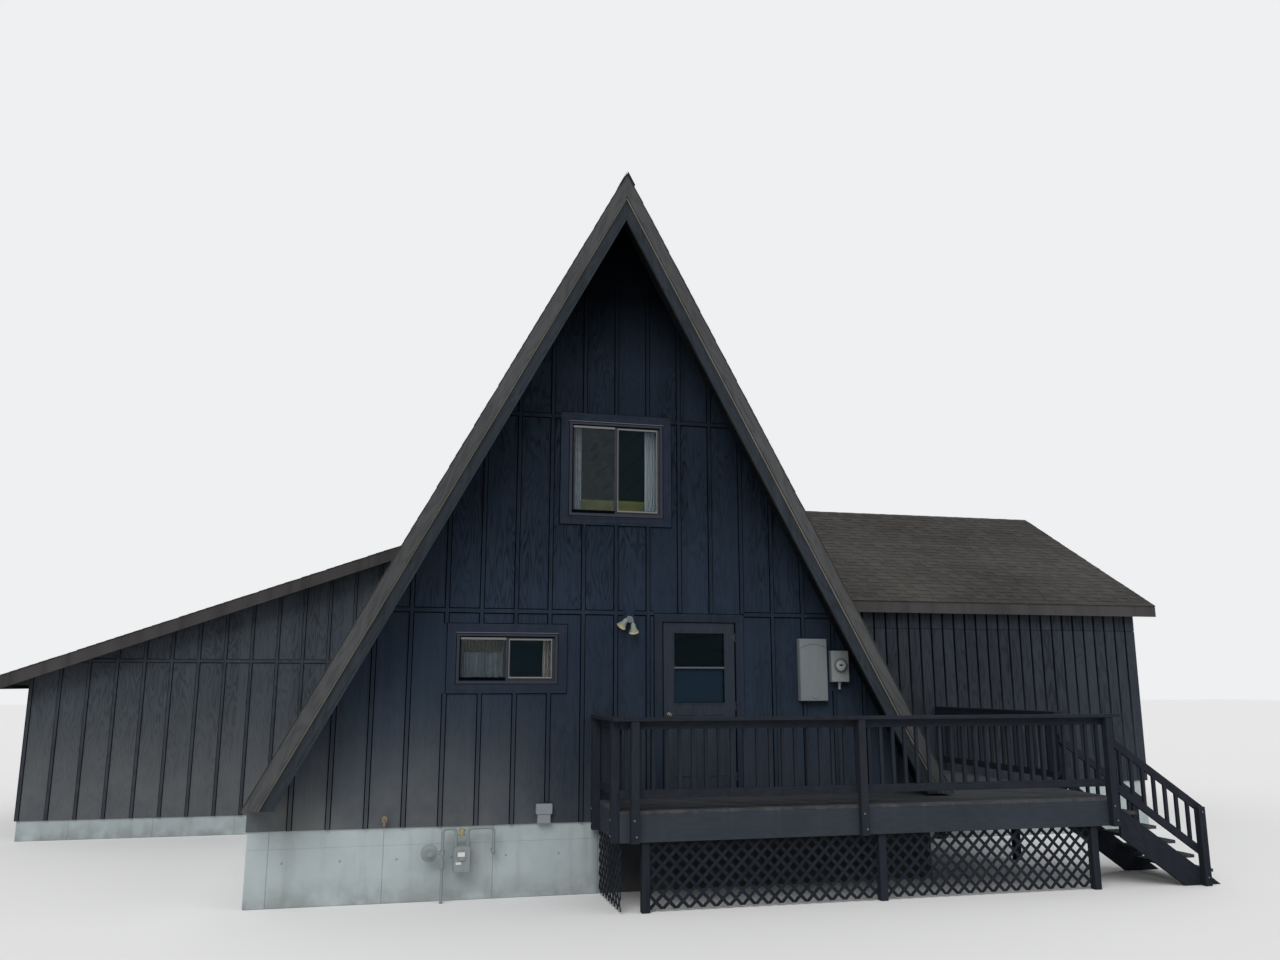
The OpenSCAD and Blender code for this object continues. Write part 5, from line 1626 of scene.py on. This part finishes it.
    def run(self, boards: Timber, start: Point, along: Vector, inward: Vector, length: float) -> None:
        """Build two rails and the balusters between them.

        Args:
            boards: Piece that takes them.
            start: X and Y of the run's outer corner.
            along: Direction of the run.
            inward: Direction of the rails' thickness.
            length: Length of the run.
        """
        base, rail = Vector((*start, 0.0)) + inward * self.board / 2, self.post
        for top in (self.low_rail, self.cap):
            boards.board(base + along * length / 2 + UP * (top - rail / 2), along, UP, (length, rail, self.board))
        count = math.floor((length - self.baluster) / self.pitch + 1e-9)
        first = (length - count * self.pitch) / 2
        low, high = self.low_rail, self.cap - rail
        for index in range(count + 1):
            spot = base + along * (first + index * self.pitch) + UP * (low + high) / 2
            boards.board(spot, UP, along, (high - low, self.baluster, self.baluster))

    def railings(self) -> None:
        """Build the front and side railings with their caps."""
        out, lip, low, high = self.post + 0.010, 0.041, self.cap, self.rail_top
        front, sides = Timber("front_railing_timbers"), Timber("side_railing_timbers")
        self.run(front, (self.left, self.front), ACROSS, BACK, self.right - self.left)
        for x0, x1 in ((self.left - out, self.seam - 0.0005), (self.seam + 0.0005, self.right + out)):
            front.box((x0, self.front - out, low), (x1, self.front + lip, high), ACROSS)
        front.piece(DECK_STAIN, "deck_stain", ["front_railing"])
        start = self.front + self.board
        self.run(sides, (self.left, start), BACK, ACROSS, HOUSE.front - start)
        sides.box((self.left - out, self.front + lip, low), (self.left + lip, HOUSE.front, high), BACK)
        self.run(sides, (self.right - self.board, self.stair_back), BACK, ACROSS, self.wing - self.stair_back)
        sides.box((self.right - lip, self.stair_back - 0.010, low), (self.right + out, self.wing, high), BACK)
        sides.piece(DECK_STAIN, "deck_stain", ["side_railings"])

    def lattice(self) -> None:
        """Build the laths under the deck."""
        laths, low, half = Timber("lattice_laths"), 0.025, self.post / 2
        y = self.front + self.board
        for left, right in zip(self.under, self.under[1:]):
            corner = Vector((left + half, y + half, low))
            self.panel(laths, corner, ACROSS, BACK, right - left - self.post, self.rim_low - low)
        self.panel(laths, Vector((self.left + 0.025, y, low)), BACK, -ACROSS, HOUSE.front - y, self.rim_low - low)
        laths.piece(LATTICE_STAIN, "lattice_stain", ["lattice_skirt"], bevel=0.001)

    def panel(self, laths: Timber, corner: Vector, along: Vector, back: Vector, width: float, height: float) -> None:
        """Build one panel of crossed laths.

        Args:
            laths: Piece that takes them.
            corner: Its lower corner at the front of the first layer.
            along: Direction of its width.
            back: Direction from the first layer to the second.
            width: Its width.
            height: Its height.
        """
        across, tall = along * width, UP * height
        cuts = [Cut(corner, -along), Cut(corner + across, along), Cut(corner, -UP), Cut(corner + tall, UP)]
        wide, thick = self.lath
        for layer, lean in ((0, 1), (1, -1)):
            way = (along * lean + UP).normalized()
            for index in range(-math.ceil(height / self.laths) - 1, math.ceil((width + height) / self.laths) + 1):
                foot = index * self.laths
                top = foot + lean * height
                if max(foot, top) >= -wide and min(foot, top) <= width + wide:
                    middle = corner + along * (foot + top) / 2 + tall / 2 + back * thick * (layer + 0.5)
                    laths.board(middle, way, way.cross(back), (height * 1.6, wide, thick), cuts)


@dataclass
class Stair:
    """Stair from the deck's right end: stringers, treads, rails and newels."""

    deck: Deck
    risers: int = 6
    run: float = 0.250
    tread: float = 0.280
    lift: float = 0.060
    rim: float = 0.286
    rails: Span = (0.060, 0.690)
    setback: float = 0.200
    end: float = 0.040

    @property
    def rise(self) -> float:
        """Return the height of a riser."""
        return self.deck.floor / self.risers

    @property
    def angle(self) -> float:
        """Return the stair's slope."""
        return math.atan(self.rise / self.run)

    @property
    def sides(self) -> tuple[Span, Span]:
        """Return Y of the two faces of each stringer."""
        d = self.deck
        return (d.front, d.front + d.board), (d.stair_back - d.board, d.stair_back)

    def build(self) -> None:
        """Build the stair."""
        self.stringers()
        self.treads()
        self.railings()

    def line(self, x: float) -> float:
        """Return the height of the line of the nosings."""
        return self.deck.floor - (x - self.deck.right) * math.tan(self.angle)

    def band(self, boards: Timber, length: float, heights: Span, faces: Span, extra: Sequence[Cut] = ()) -> None:
        """Add a sloping board between plumb cuts.

        Args:
            boards: Piece that takes it.
            length: Its reach from the deck, level.
            heights: Its lower and upper edges above the line of the nosings, plumb.
            faces: Y of its two faces.
            extra: Further cuts.
        """
        slope, start, (low, high) = self.angle, self.deck.right, heights
        middle = Vector((start + length / 2, sum(faces) / 2, self.line(start + length / 2) + (low + high) / 2))
        way = Vector((math.cos(slope), 0, -math.sin(slope)))
        size = (length / math.cos(slope) + 2 * (high - low), (high - low) * math.cos(slope), faces[1] - faces[0])
        cuts = [Cut(ACROSS * start, -ACROSS), Cut(ACROSS * (start + length), ACROSS), *extra]
        boards.board(middle, way, way.cross(BACK), size, cuts)

    def stringers(self) -> None:
        """Build the two stringers."""
        boards, high = Timber("stair_stringer_boards"), self.lift - self.rise
        for faces in self.sides:
            self.band(boards, 1.4, (high - self.rim / math.cos(self.angle), high), faces, [Cut(Vector((0, 0, 0)), -UP)])
        boards.piece(DECK_STAIN, "deck_stain", ["stair_stringers"], bevel=0.003)

    def treads(self) -> None:
        """Build the treads, two boards each, with their screws."""
        boards, d = Timber("stair_tread_boards"), self.deck
        screws: list[tuple[Vector, Vector]] = []
        wide = (self.tread - 0.004) / 2
        for index in range(1, self.risers):
            x, z = d.right + (index - 1) * self.run, d.floor - index * self.rise
            for start in (x, x + wide + 0.004):
                boards.box((start, d.front + d.board, z - d.board), (start + wide, d.stair_back - d.board, z), BACK)
                screws += [(Vector((start + wide * part, y, z)), UP) for part in QUARTERS
                           for y in (d.front + 0.06, d.stair_back - 0.06)]
        boards.piece(BOARD_STAIN, "deck_boards", ["stair_treads"], bevel=0.004)
        SCREWS.build("tread_screws", screws)

    def railings(self) -> None:
        """Build the handrails, their balusters and the newels."""
        boards, d, slope = Timber("stair_railing_timbers"), self.deck, self.angle
        bolts: list[tuple[Vector, Vector]] = []
        span = (self.risers - 1) * self.run - self.setback
        newel, plumb, normal = d.right + span, d.post / math.cos(slope), Vector((math.sin(slope), 0, math.cos(slope)))
        foot, head = self.rails
        count = math.floor((span - d.baluster) / d.pitch)
        first = (span - count * d.pitch) / 2
        for faces in self.sides:
            self.band(boards, span + d.post + self.end, (head - plumb, head), faces)
            self.band(boards, span + d.post, (foot, foot + plumb), faces)
            for index in range(count + 1):
                x = d.right + first + index * d.pitch
                low, high = self.line(x) + foot + plumb, self.line(x) + head - plumb
                cuts = [Cut(Vector((x, 0, high)), normal), Cut(Vector((x, 0, low)), -normal)]
                middle = Vector((x, sum(faces) / 2, (low + high) / 2))
                boards.board(middle, UP, ACROSS, (high - low + 0.1, d.baluster, d.baluster), cuts)
        top = self.line(newel) + head - d.post
        for y, face, out in ((d.front - d.post, d.front - d.post, -BACK), (d.stair_back, d.stair_back + d.post, BACK)):
            boards.box((newel, y, 0.0), (newel + d.post, y + d.post, top), UP)
            bolts += [(Vector((newel + d.post / 2, face, z)), out) for z in (0.10, top - 0.06)]
        boards.piece(DECK_STAIN, "deck_stain", ["stair_railings"])
        BOLTS.build("newel_bolts", bolts)


# ---- fixtures


@dataclass
class Fixtures:
    """Lamps, electric and gas boxes and the hose tap."""

    face: float = HOUSE.front

    def build(self) -> None:
        """Dress the fixtures and add their small parts."""
        give(Coat("gas_paint", srgb(124, 134, 136), 0.55, dust=0.3, rust=0.12, specular=0.3), "gas_meter")
        give(Coat("tap_brass", srgb(150, 136, 112), 0.45, 0.5, dust=0.2, rust=0.5), "hose_tap")
        give(Concrete("concrete", srgb(164, 174, 176)), "foundation", "left_wing_slab", "right_wing_foundation")
        give(Stain("fascia_paint", srgb(70, 68, 68), grain=0.3, wear=0.08, lay=Lay.LEVEL_X),
             "left_wing_fascia", "right_wing_fascia")
        self.lamps()
        self.panel()
        self.meter()
        self.small_box()
        self.gas()

    def lamps(self) -> None:
        """Build the round box, its two arms and the hollow bells that hang from them."""
        spot = Vector((0.165, self.face, 3.155))
        box, shades, hollows, bulbs = (Turned(f"lamp_{word}") for word in ("box", "shades", "reflectors", "bulbs"))
        box.add(facing(spot, -BACK), 32, (0, 0), (42, 0), (42, 70), (37, 75), (0, 75))
        for x, z, tilt, turn in ((-0.020, 0.030, 140, -75), (0.034, -0.014, 162, 6)):
            lean = Euler((math.radians(tilt), 0.0, math.radians(turn))).to_matrix().to_4x4()
            place = Matrix.Translation(spot + Vector((x, -0.063, z))) @ lean
            box.add(place, 20, (0, -10), (12, -10), (12, 28), (17, 30), (17, 41), (0, 41))
            shades.add(place, 28, (0, 40), (24.8, 40), (31, 63), (34, 97.5), (59, 143.5), (62, 155), (60, 155),
                       (56.5, 143.5), (31, 98), (0, 96))
            hollows.add(place, 28, (0, 99.5), (28.5, 101.5), (54.5, 143.5), (58.5, 154.5), (59.8, 154.5),
                        (55.8, 143), (30, 100.5), (0, 98.5))
            bulbs.add(place, 24, (0, 149), (18, 146), (29, 138), (33, 128), (26, 112), (18, 103), (0, 101))
        box.piece(Coat("lamp_grey", srgb(92, 94, 106), 0.5, dust=0.1), "lamp_gold", ["flood_lamps"])
        shades.piece(Coat("lamp_shade", srgb(116, 124, 116), 0.45, dust=0.1), "lamp_gold")
        # The reflectors' cream and the bulbs' pale yellow are painted reflection of bright daylight.
        hollows.piece(Coat("lamp_painted_reflection", srgb(240, 222, 186), 0.4, dust=0.0), "lamp_gold")
        bulbs.piece(Coat("bulb_painted_reflection", srgb(250, 244, 196), 0.3, dust=0.0), "lamp_gold")

    def case(self, name: str, low: Span, high: Span, finish: Coat, slot: str, node: str) -> None:
        """Build a wall box with its rounded cover.

        Args:
            name: Name of the piece.
            low: X and Z of its lower left corner.
            high: X and Z of its upper right corner.
            finish: Its paint.
            slot: The record's material slot.
            node: Node that it stands for.
        """
        boards = Timber(name)
        for inset, near, far in ((0.0, 0.086, 0.0), (0.004, 0.100, 0.088), (0.010, 0.090, 0.080)):
            boards.box((low[0] + inset, self.face - near, low[1] + inset),
                       (high[0] - inset, self.face - far, high[1] - inset), UP)
        boards.piece(finish, slot, [node], bevel=0.005)

    def panel(self) -> None:
        """Build the electric panel, a painted shadow line along the curved lip of its cover, and its latch."""
        paint = Coat("panel_paint", srgb(108, 116, 121), 0.5, dust=0.2, specular=0.3)
        self.case("electric_panel_case", (2.352, 2.172), (2.720, 2.945), paint, "panel_grey", "electric_panel")
        # A thin dark arc on the cover: painted shadow along its curved lip.
        arc, start, sweep = bmesh.new(), math.radians(59), math.radians(62)
        strip = (Matrix.Rotation(start, 4, "Z") @ Matrix.Translation((0.340, 0, 0))
                 @ Matrix.Rotation(math.radians(90), 4, "X") @ Matrix.Diagonal((0.005, 0.0016, 1.0, 1.0)))
        bmesh.ops.create_grid(arc, x_segments=1, y_segments=1, size=0.5, matrix=strip)
        bmesh.ops.spin(arc, geom=arc.faces[:], cent=(0, 0, 0), axis=UP, angle=sweep, steps=18, use_merge=False)
        bmesh.ops.transform(arc, matrix=facing((2.536, self.face - 0.1004, 2.535), -BACK), verts=arc.verts)
        dress("panel_lip_shadow", arc, Coat("panel_shadow", srgb(58, 64, 70), 0.6, dust=0.0, specular=0.1))
        latch = Timber("panel_latch")
        latch.box((2.506, self.face - 0.108, 2.205), (2.566, self.face - 0.099, 2.232), ACROSS)
        latch.piece(paint, "panel_grey", bevel=0.003)

    def meter(self) -> None:
        """Build the meter's box, its ring, the dial behind its glass dome and the conduit below."""
        paint = Coat("socket_paint", srgb(132, 137, 140), 0.5, dust=0.2, specular=0.3)
        self.case("meter_socket_case", (2.780, 2.406), (3.015, 2.798), paint, "meter_grey", "electric_meter")
        x = 2.8975
        place = facing((x, self.face - 0.099, 2.616), -BACK)
        flat = place @ Matrix.Diagonal((1.0, 0.5, 1.0, 1.0))
        under = Matrix.Translation((x, self.face - 0.044, 2.316))
        metal = Coat("ring_metal", srgb(92, 98, 100), 0.5, dust=0.1)
        pale = Coat("meter_plate", srgb(196, 200, 198), 0.4, dust=0.0)
        dark = Coat("meter_dark", srgb(24, 26, 28), 0.3, dust=0.0)
        clear = Glass("dome_glass", (0.97, 0.98, 0.98))
        Turned("meter_ring").add(place, 32, (72, 0), (88, 0), (88, 20), (84, 26), (76, 26), (72, 20), (72, 0)).piece(
            metal, "meter_grey")
        Turned("meter_plate").add(place, 32, (0, 14), (71.5, 14), (71.5, 0), (0, 0)).piece(pale, "meter_grey")
        Turned("meter_dial").add(flat, 32, (0, 18), (24, 17), (26, 13.5), (0, 13.5)).piece(dark, "meter_grey")
        Turned("meter_dome").add(place, 32, (0, 70), (45, 68), (63, 58), (70, 42), (71, 16), (69, 16), (68, 42),
                                 (61, 56), (44, 66), (0, 68)).piece(clear, "window_glass")
        Turned("meter_conduit").add(under, 20, (0, 0), (17, 0), (17, 60), (22, 61), (22, 95), (0, 95)).piece(
            paint, "meter_grey")

    def small_box(self) -> None:
        """Build the small box at the foot of the siding: a wide upper part over a narrower lower one."""
        boards = Timber("utility_box_case")
        boards.box((-0.942, self.face - 0.075, 0.905), (-0.753, self.face, 1.020), UP)
        boards.box((-0.924, self.face - 0.066, 0.802), (-0.771, self.face, 0.906), UP)
        plastic = Coat("box_plastic", srgb(128, 135, 141), 0.6, dust=0.2, specular=0.3)
        boards.piece(plastic, "box_grey", ["utility_box"], bevel=0.008)

    def gas(self) -> None:
        """Add the bar between the meter's two pipes, the brass valve on it and the two pale plates."""
        brass = Coat("valve_brass", srgb(176, 160, 112), 0.4, 0.5, dust=0.1)
        paint = Coat("bar_paint", srgb(124, 134, 136), 0.55, dust=0.2, specular=0.3)
        Turned("gas_valve").add(facing((-1.7825, -0.246, 0.692), UP), 16, (0, 0), (12, 0), (16, 12), (36, 78),
                                (36, 88), (0, 88)).piece(brass, "tap_metal", smooth=False)
        Turned("gas_meter_bar").add(facing((-1.840, -0.246, 0.722), ACROSS), 12, (0, 0), (10, 0), (10, 115),
                                    (0, 115)).piece(paint, "pipe_grey")
        plates = Timber("gas_meter_plates")
        plates.box((-1.832, -0.342, 0.497), (-1.752, -0.336, 0.545), ACROSS)
        plates.box((-1.850, -0.323, 0.412), (-1.790, -0.320, 0.436), ACROSS)
        plates.piece(Coat("plate_white", srgb(206, 208, 204), 0.4, dust=0.1), "pipe_grey", bevel=0.001)


# ---- stage


def place_object(name: str, data: bpy.types.ID, turn: Point = (0.0, 0.0, 0.0)) -> bpy.types.Object:
    """Place new data in the scene, turned by angles in degrees, and return its object."""
    made = bpy.data.objects.new(name, data)
    made.rotation_euler = [math.radians(angle) for angle in turn]
    bpy.context.scene.collection.objects.link(made)
    return made


def build_floor() -> None:
    """Lay the pale floor."""
    mesh, data = bmesh.new(), bpy.data.meshes.new("studio_floor")
    bmesh.ops.create_grid(mesh, x_segments=1, y_segments=1, size=120.0)
    mesh.to_mesh(data)
    mesh.free()
    paper = bpy.data.materials.new("studio_paper")
    paper.use_nodes = True
    flat = {"Base Color": (0.80, 0.80, 0.80), "Roughness": 0.9, "Specular IOR Level": 0.1}
    Graph(paper.node_tree).feed(paper.node_tree.nodes["Principled BSDF"], flat)
    data.materials.append(paper)
    floor = place_object("studio_floor", data)
    floor.location.z = -0.002


def build_light() -> None:
    """Light the object from a pale world and two broad suns."""
    world = bpy.data.worlds.new("studio")
    bpy.context.scene.world = world
    world.use_nodes = True
    graph = Graph(world.node_tree)
    world.node_tree.nodes.clear()
    path = graph.node("ShaderNodeLightPath")
    camera, glossy, clear = (Wire(graph, path.outputs[f"Is {ray} Ray"]) for ray in ("Camera", "Glossy", "Transmission"))
    seen = graph.math("MAXIMUM", graph.math("MAXIMUM", camera, glossy), clear)
    soft = graph.wire("ShaderNodeBackground", {"Color": (1.0, 1.0, 1.0), "Strength": 0.62})
    pale = graph.wire("ShaderNodeBackground", {"Color": (0.86, 0.87, 0.88), "Strength": 1.0})
    both = graph.wire("ShaderNodeMixShader", {0: seen, 1: soft, 2: pale})
    graph.node("ShaderNodeOutputWorld", {"Surface": both})
    for name, strength, spread, turn in (("key_light", 1.5, 35.0, (48.0, 0.0, -28.0)),
                                         ("fill_light", 0.35, 60.0, (60.0, 0.0, 55.0))):
        lamp = bpy.data.lights.new(name, "SUN")
        lamp.energy, lamp.angle = strength, math.radians(spread)
        place_object(name, lamp, turn)


def build_camera() -> None:
    """Set the camera at the photograph's place, with its lens."""
    scene = bpy.context.scene
    scene.view_settings.view_transform = "Standard"
    lens = bpy.data.cameras.new("photo_camera")
    lens.sensor_fit = "HORIZONTAL"
    lens.sensor_width, lens.lens, lens.clip_end = 36.0, 28.93, 400.0
    camera = place_object("photo_camera", lens, (101.18, 0.0, -13.53))
    camera.location = (-2.675, -12.504, 2.391)
    scene.camera = camera


def main() -> None:
    """Build every sub-assembly in order."""
    logging.basicConfig(level=logging.INFO, format="%(name)s: %(message)s")
    build_floor()
    build_light()
    build_camera()
    walls, deck = Cladding(), Deck()
    for part in (walls, RoofEdges(), RoofCovering(walls), Casings(), Sliders(), Curtains(), DoorParts(), deck,
                 Stair(deck), Fixtures()):
        part.build()


if __name__ == "__main__":
    main()
